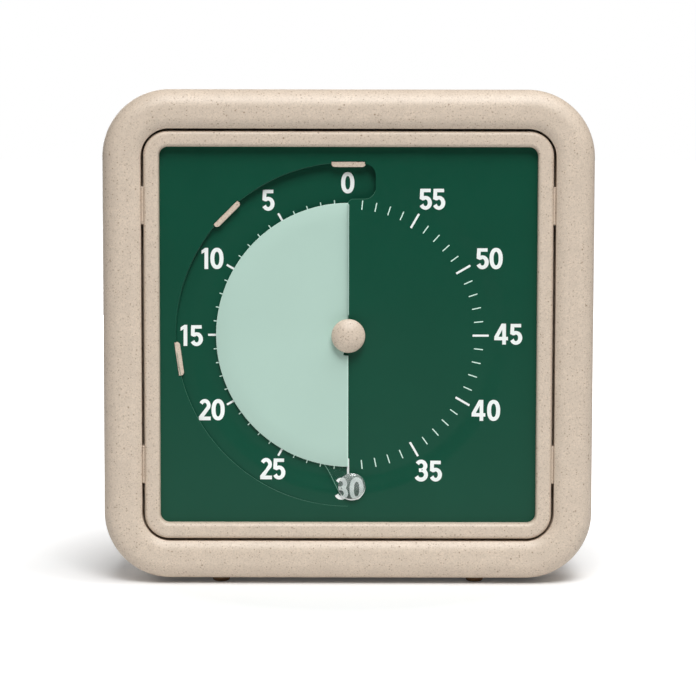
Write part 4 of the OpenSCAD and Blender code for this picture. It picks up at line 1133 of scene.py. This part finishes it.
class TIMER_OT_tab(bpy.types.Operator):
    """Builds the clear tab that carries the magnifying dome"""

    bl_idname = "timer.tab"
    bl_label = "Clear tab"

    def execute(self, context):
        tint = context.scene.timer.disc.clear
        low = FACE_Z + DISC_REST
        lead = math.radians(REST_ANGLE + DOME_LEAD)
        cx, cy = -DOME_REACH * math.sin(lead), DOME_REACH * math.cos(lead)
        veiled = magnifying_plastic("clear_dome_plastic", tint, at(cx, cy, 0.0))
        piece("tab_dome", *revolved(self.dome_profile(low + TAB_RISE), cx, cy), veiled, "disc",
              "clear_tab", ["disc_tab"], sharp=40)

        def underside(x, y):
            return low + TAB_RISE * smooth_step((math.hypot(x, y) - TAB_RISER_R) / TAB_RISER_T)

        outline, trail = self.sheet_outline(cx, cy)
        held = [polar(0, 0, r, a) for a in TAB_HELD_ANGLES for r in TAB_HELD_RADII]
        piece("tab_sheet", *sheet(outline, held, underside, TAB_T), thin_sheet("clear_tab_sheet", tint),
              "disc", "clear_tab", sharp=40)
        # painted highlight: an opaque pale strip along the sheet's trailing edge, where light shows in the
        # clear edge
        strip = ribbon(trail, TAB_LINE_W, lambda x, y: underside(x, y) + TAB_T + HIGHLIGHT_LIFT, TAB_LINE_DEPTH)
        piece("tab_trailing_edge", *strip, highlight_strip_plastic("clear_tab_highlight", TAB_EDGE_HIGHLIGHT), "disc",
              "clear_tab", sharp=40)
        return {"FINISHED"}

    @staticmethod
    def dome_profile(low):
        """A cap of a sphere over a short cylinder, from its underside up."""
        top = low + TAB_T
        sphere_r = (DOME_CAP_R ** 2 + DOME_H ** 2) / (2 * DOME_H)
        start = math.degrees(math.acos((DOME_R - DOME_SHOULDER) / sphere_r))
        profile = [(0.0, low), (DOME_R - DOME_EASE, low), (DOME_R, low + DOME_EASE),
                   (DOME_R, top - DOME_SHOULDER)]
        return profile + arc(0.0, top + DOME_H - sphere_r, sphere_r, start, 90, 16)

    @staticmethod
    def sheet_outline(cx, cy):
        """Outline of the sheet between the disc's rim and the dome, and its trailing edge."""
        ring_r = DOME_R + DOME_GAP
        ring = arc(cx, cy, ring_r, math.degrees(math.acos(-cx / ring_r)), TAB_RING_END, 16)
        bend, pull = Vector(TAB_BEND), Vector(TAB_PULL)
        foot = Vector(polar(0, 0, DISC_R, TAB_FOOT_ANGLE))
        curve = []
        for i in range(9):
            t = i / 8
            curve.append(tuple(bend * (1 - t) ** 2 + pull * 2 * t * (1 - t) + foot * t * t))
        rim = arc(0, 0, DISC_R, *TAB_RIM_ANGLES, 8)
        return [(0.0, -DISC_R), *ring, *curve, *rim], [ring[-1], *curve]


class TIMER_OT_knob(bpy.types.Operator):
    """Builds the setting knob"""

    bl_idname = "timer.knob"
    bl_label = "Setting knob"

    def execute(self, context):
        z0, z1 = KNOB_BASE_Z, KNOB_BASE_Z + KNOB_RIM
        crown_r, crown_z = KNOB_R - KNOB_EDGE, z1 + KNOB_CROWN_RISE
        crown_h = KNOB_H - KNOB_RIM - KNOB_CROWN_RISE
        profile = [(0.0, z0 + KNOB_BORE_DEPTH), (KNOB_BORE_R, z0 + KNOB_BORE_DEPTH), (KNOB_BORE_R, z0),
                   (KNOB_R - KNOB_EASE, z0), (KNOB_R - KNOB_EASE_MIDDLE, z0 + KNOB_EASE_MIDDLE),
                   (KNOB_R, z0 + KNOB_EASE), (KNOB_R, z1 - KNOB_EASE),
                   (KNOB_R - KNOB_SHOULDER[0], z1 - KNOB_SHOULDER[1]), (crown_r, crown_z)]
        for i in range(1, KNOB_CROWN_STEPS + 1):
            r = crown_r * (1 - i / KNOB_CROWN_STEPS) ** KNOB_CROWN_SPREAD
            profile.append((r, crown_z + crown_h * (1 - (r / KNOB_R) ** KNOB_CROWN_POWER)))
        piece("knob_dome", *revolved(profile), case_plastic(context), "setter", "case_plastic",
              ["setting_knob"], sharp=40)
        return {"FINISHED"}


class TIMER_OT_feet(bpy.types.Operator):
    """Builds the four rubber feet"""

    bl_idname = "timer.feet"
    bl_label = "Feet"

    def execute(self, context):
        brown = rubber("foot_rubber", (0.16, 0.085, 0.035))
        flat = FOOT_R - FOOT_ROUND
        profile = [(0.0, 0.0), (flat - FOOT_RING, 0.0), *arc(flat, FOOT_ROUND, FOOT_ROUND, -90, 0, 8)[1:],
                   (FOOT_R, FOOT_H), (0.0, FOOT_H)]
        shapes = []
        for fx in FOOT_X:
            for fz in FOOT_Z:
                verts = []
                for i in range(FOOT_STEPS):
                    t = 2 * math.pi * i / FOOT_STEPS
                    verts += [((fx + r * math.cos(t)) * MM, (-fz + r * math.sin(t)) * MM, h * MM)
                              for r, h in profile]
                shapes.append((verts, grid_faces(FOOT_STEPS, len(profile), True, False)))
        piece("rubber_feet", *joined(*shapes), brown, "case", "foot_rubber", ["feet"])
        return {"FINISHED"}


class TIMER_OT_back(bpy.types.Operator):
    """Rounds and finishes the rear cover, its door, its switch and its screws"""

    bl_idname = "timer.back"
    bl_label = "Back"

    @staticmethod
    def moulded(node, name, finish, body, slot, radius):
        """A copy of a solid whose sharp edges are rounded as a mould leaves them."""
        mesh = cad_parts[node].data.copy()
        mesh.name = name
        work = bmesh.new()
        work.from_mesh(mesh)
        bmesh.ops.remove_doubles(work, verts=work.verts, dist=SOLID_WELD)
        bmesh.ops.dissolve_limit(work, angle_limit=FLAT_WITHIN, verts=work.verts, edges=work.edges,
                                 delimit={"NORMAL"})
        work.to_mesh(mesh)
        work.free()
        obj = bpy.data.objects.new(name, mesh)
        finished(obj, finish, body, [node], 35)
        soft = obj.modifiers.new("edges", "BEVEL")
        soft.width, soft.segments, soft.limit_method = radius, 2, "ANGLE"
        soft.angle_limit = ROUNDED_FROM
        soft.harden_normals = True
        flat = obj.modifiers.new("flat_faces", "WEIGHTED_NORMAL")
        flat.mode, flat.weight, flat.keep_sharp = "FACE_AREA", 100, True

    def execute(self, context):
        radius = context.scene.timer.case.edge_round
        plastic = case_plastic(context)
        self.moulded("rear_cover", "back_shell", plastic, "case", "case_plastic", radius)
        self.moulded("battery_door", "sliding_door", plastic, "door", "case_plastic", radius * MOVING_SHARE)
        grey = satin_plastic("switch_grey", (0.12, 0.12, 0.115), 0.5)
        self.moulded("alert_switch", "alert_slider", grey, "alert", "switch_grey", radius * MOVING_SHARE)
        steel = metal("zinc_plated_steel", (0.55, 0.55, 0.56), 0.32, 900.0)
        self.moulded("rear_cover_screws", "case_screws", steel, "case", "steel", SCREW_ROUND)
        return {"FINISHED"}


class TIMER_OT_insides(bpy.types.Operator):
    """Finishes the movement, the board, the battery and the chassis"""

    bl_idname = "timer.insides"
    bl_label = "Insides"

    def execute(self, context):
        TIMER_OT_back.moulded("chassis", "chassis_frame", case_plastic(context), "case",
                              "chassis_plastic", CHASSIS_ROUND)
        dress(["disc_hub", "movement_front_housing", "movement_rear_housing", "output_wheel", "third_wheel",
               "second_wheel", "coil_bobbin"],
              satin_plastic("white_moulding", (0.78, 0.78, 0.74), 0.38, change=0.03))
        dress(["spindle", "movement_screws", "board_screws", "quartz_crystal"],
              metal("turned_steel", (0.58, 0.58, 0.6), 0.3, 700.0))
        dress(["stator", "coil_core"], metal("lamination_steel", (0.42, 0.42, 0.43), 0.42))
        dress(["clutch_spring", "battery_contact_positive", "battery_contact_negative"],
              metal("nickel_spring", (0.7, 0.68, 0.62), 0.22))
        dress(["spindle_bush"], metal("turned_brass", (0.72, 0.5, 0.2), 0.28, 800.0))
        dress(["rotor"], satin_plastic("rotor_magnet", (0.06, 0.06, 0.065), 0.5))
        dress(["coil_winding"], wound_copper())
        dress(["circuit_board"], board_laminate())
        dress(["driver_chip", "buzzer"], satin_plastic("black_moulding", (0.02, 0.02, 0.022), 0.48))
        dress(["switch_body"], satin_plastic("grey_moulding", (0.3, 0.3, 0.29), 0.5))
        dress(["battery"], metal("cell_sleeve", (0.12, 0.14, 0.16), 0.35))
        return {"FINISHED"}


class TIMER_OT_stage(bpy.types.Operator):
    """Sets up the floor, the light and the camera"""

    bl_idname = "timer.stage"
    bl_label = "Stage"

    def execute(self, context):
        settings = context.scene.timer.stage
        self.floor(context)
        self.camera(context, settings)
        powers = {"key_light": settings.key_power, "back_light": settings.back_power,
                  "top_light": settings.top_power}
        for name, (place, target, width) in LAMPS.items():
            self.lamp(context, name, Vector(place), Vector(target), width, powers[name])
        self.sky(context, settings.sky)
        context.scene.view_settings.view_transform = "Standard"
        return {"FINISHED"}

    @staticmethod
    def floor(context):
        """White paper that fades to plain white away from the timer, so that only its shadow shows."""
        mesh = bpy.data.meshes.new("studio_floor")
        mesh.from_pydata([(x, y, 0.0) for y in FLOOR_Y for x in FLOOR_X], [], [(0, 1, 3, 2)])
        obj = bpy.data.objects.new("studio_floor", mesh)
        context.scene.collection.objects.link(obj)
        paper = Finish("studio_paper", FLOOR_PAPER, 0.9, Specular_IOR_Level=0.0)
        path = paper.add("ShaderNodeLightPath").outputs
        seen = paper.maths("MAXIMUM", path["Is Camera Ray"], path["Is Transmission Ray"])
        away = paper.add("ShaderNodeVectorMath", {0: paper.place}, operation="LENGTH").outputs["Value"]
        lift = paper.maths("MULTIPLY", seen, paper.ramp(away, *FLOOR_FADE, *FLOOR_GLOW))
        glow = paper.add("ShaderNodeEmission", {"Strength": lift}).outputs[0]
        both = paper.add("ShaderNodeAddShader", {0: paper.shader.outputs[0], 1: glow}).outputs[0]
        paper.tree.links.new(both, paper.tree.nodes["Material Output"].inputs["Surface"])
        mesh.materials.append(paper.material)

    @staticmethod
    def camera(context, settings):
        """The camera in front of the timer, a little above it."""
        back = Vector((0.0, -math.cos(settings.elevation), math.sin(settings.elevation)))
        data = bpy.data.cameras.new("camera")
        data.lens, data.sensor_width, data.clip_end = settings.lens, CAMERA_SENSOR_MM, CAMERA_END
        camera = bpy.data.objects.new("camera", data)
        camera.location = Vector(CAMERA_TARGET) + back * settings.distance
        level = (-back).to_track_quat("-Z", "Y")
        camera.rotation_euler = (level @ Quaternion((0.0, 0.0, 1.0), settings.roll)).to_euler()
        context.scene.collection.objects.link(camera)
        context.scene.camera = camera

    @staticmethod
    def lamp(context, name, place, target, width, power):
        """A square area lamp that faces its target."""
        data = bpy.data.lights.new(name, "AREA")
        data.shape, data.size, data.energy = "SQUARE", width, power
        obj = bpy.data.objects.new(name, data)
        obj.location = place
        obj.rotation_euler = (target - place).to_track_quat("-Z", "Y").to_euler()
        context.scene.collection.objects.link(obj)

    @staticmethod
    def sky(context, strength):
        """Even light all round, and plain white behind the timer."""
        world = bpy.data.worlds.new("studio")
        context.scene.world = world
        world.use_nodes = True
        nodes, links = world.node_tree.nodes, world.node_tree.links
        background = nodes["Background"]
        background.inputs["Color"].default_value = (1, 1, 1, 1)
        path = nodes.new("ShaderNodeLightPath")
        level = nodes.new("ShaderNodeMix")
        level.inputs[2].default_value = strength
        level.inputs[3].default_value = 1.0
        links.new(path.outputs["Is Camera Ray"], level.inputs[0])
        links.new(level.outputs[0], background.inputs["Strength"])


STEPS = (TIMER_OT_frame, TIMER_OT_bezel, TIMER_OT_dial, TIMER_OT_marks, TIMER_OT_numbers, TIMER_OT_disc,
         TIMER_OT_tab, TIMER_OT_knob, TIMER_OT_feet, TIMER_OT_back, TIMER_OT_insides, TIMER_OT_stage)


class TIMER_PT_panel(bpy.types.Panel):
    """Lists the steps that build the timer"""

    bl_idname = "TIMER_PT_panel"
    bl_label = "Visual countdown timer"
    bl_space_type = "VIEW_3D"
    bl_region_type = "UI"
    bl_category = "Timer"

    def draw(self, context):
        timer = context.scene.timer
        for group in (timer.case, timer.dial, timer.disc, timer.stage):
            box = self.layout.box()
            for name in group.__annotations__:
                box.prop(group, name)
        for step in STEPS:
            self.layout.operator(step.bl_idname)


CLASSES = (CaseSettings, DialSettings, DiscSettings, StageSettings, TimerSettings, *STEPS, TIMER_PT_panel)


def register():
    for c in CLASSES:
        bpy.utils.register_class(c)
    bpy.types.Scene.timer = bpy.props.PointerProperty(type=TimerSettings)


def unregister():
    del bpy.types.Scene.timer
    for c in reversed(CLASSES):
        bpy.utils.unregister_class(c)


def main():
    register()
    for step in STEPS:
        group, name = step.bl_idname.split(".")
        getattr(getattr(bpy.ops, group), name)()


if __name__ == "__main__":
    main()
